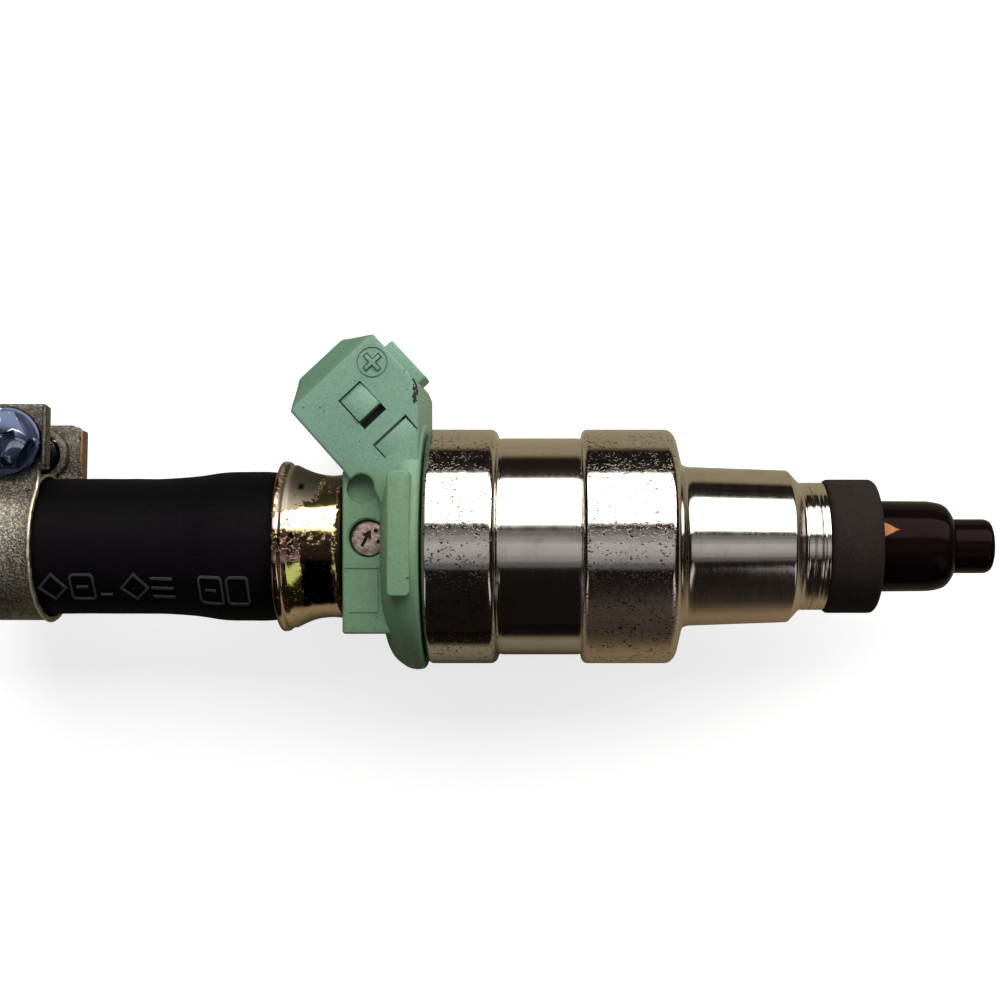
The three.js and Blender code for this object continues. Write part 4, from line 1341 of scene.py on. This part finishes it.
def threads(low, high, radius, depth, pitch, sides=32):
    """A threaded rod along Z: a closed solid whose surface follows the helix."""
    steps = int((high - low) / pitch * 10)
    sections = []
    for step in range(steps + 1):
        z = low + (high - low) * step / steps
        ring = []
        for side in range(sides):
            angle = 2 * math.pi * side / sides
            phase = (z / pitch - angle / (2 * math.pi)) % 1.0
            height = 1 - abs(phase * 2 - 1)
            fade = min(1.0, (high - z) / 0.6)
            end = max(0.0, 1 - (z - low) / 0.5)
            reach = radius - depth * (1 - height) * fade - 0.35 * end
            ring.append(Vector((reach * math.cos(angle), reach * math.sin(angle), z)))
        sections.append(ring)
    return loft(sections)


def screw_place(mesh_bm):
    return in_clamp(mesh_bm, height=SCREW_HEIGHT)


def make_clamp_screw():
    """The clamp's screw: threaded shank, round collar, chamfered hexagon and a cross recess."""
    seat = SCREW_SEAT
    top = seat + 3.4
    screw = new_piece("screw_body", screw_place(threads(-12.4, seat + 0.3, 1.95, 0.3, THREAD_PITCH)))
    collar = solid_prism(round_outline(0, 0, 3.65, 64), seat, seat + 0.95, 0.4, in_plan, 4)
    join(screw, screw_place(collar))
    head = new_piece("screw_head", solid_prism(round_outline(0, 0, 3.15, 6), seat + 0.5, top, 0.1, in_plan))
    cone = [[Vector((a, b, z)) for a, b in round_outline(0, 0, radius, 64)]
            for z, radius in ((seat - 1, 6.0), (top - 0.62, 3.4), (top + 0.02, 1.9))]
    keep_inside(head, loft(cone))
    chamfered = bmesh.new()
    chamfered.from_mesh(head.data)
    bpy.data.objects.remove(head)
    join(screw, screw_place(chamfered))
    for turn in (0, math.pi / 2):
        slot = solid_prism(rectangle(-1.95, 1.95, -0.42, 0.42), top - 1.4, top + 1, 0, in_plan)
        bmesh.ops.transform(slot, matrix=Matrix.Rotation(turn + math.radians(12), 4, "Z"), verts=slot.verts)
        cut(screw, screw_place(slot))
    settle(screw, screw_steel(), "screw_steel", "screw", "clamp_screw")


def make_clamp_nut():
    """The square nut, chamfered, with its hole."""
    face = REAR_EAR - REAR_EAR_SHEET - 0.08
    outline = rounded_rectangle(0, 0, 3.4, 3.4, 0.5)
    nut = new_piece("nut_body", screw_place(solid_prism(outline, face - 2.6, face, 0.25, in_plan)))
    cut(nut, screw_place(rod(0, 0, 2.06, face - 4, face + 1)))
    settle(nut, clamp_steel(), "clamp_steel", "nut", "clamp_nut")


# ---------------------------------------------------------------- CAD nodes that stay

def paint_inner_nodes():
    """Materials for the nodes whose CAD shape is kept."""
    steel = plain_metal("core_steel", (0.5, 0.49, 0.47), (0.3, 0.29, 0.28), 0.35)
    ground = plain_metal("needle_steel", (0.68, 0.68, 0.67), (0.5, 0.5, 0.5), 0.16)
    tinned = plain_metal("terminal_metal", (0.74, 0.7, 0.58), (0.5, 0.46, 0.36), 0.3, 3000)
    wire = plain_metal("spring_steel", (0.4, 0.4, 0.42), (0.22, 0.22, 0.24), 0.3, 3000)
    black = plain_plastic("seal_rubber", (0.02, 0.02, 0.02), (0.035, 0.033, 0.03), 0.7)
    bobbin = plain_plastic("bobbin_plastic", (0.05, 0.05, 0.055), (0.03, 0.03, 0.035), 0.5)
    nylon = plain_plastic("filter_plastic", (0.75, 0.7, 0.58), (0.6, 0.55, 0.45), 0.5)
    finishes = {
        "inlet_core": steel,
        "adjusting_tube": steel,
        "stop_plate": steel,
        "armature": steel,
        "nozzle_body": steel,
        "valve_needle": ground,
        "terminal_rear": tinned,
        "terminal_front": tinned,
        "return_spring": wire,
        "bobbin_seal_back": black,
        "bobbin_seal_front": black,
        "nozzle_seal": black,
        "coil_bobbin": bobbin,
        "inlet_filter": nylon,
        "coil_winding": copper_wire(),
    }
    for node, paint in finishes.items():
        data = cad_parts[node].data
        data.materials.clear()
        data.materials.append(paint.material)


make_camera()
make_floor()
make_studio()
make_room()
make_hose()
make_hose_marks()
make_ferrule()
make_housing()
make_seal()
make_cap()
make_moulding()
make_marking_disc()
make_clamp_band()
make_tongue()
make_clamp_screw()
make_clamp_nut()
paint_inner_nodes()
bpy.context.scene.view_settings.view_transform = "Standard"
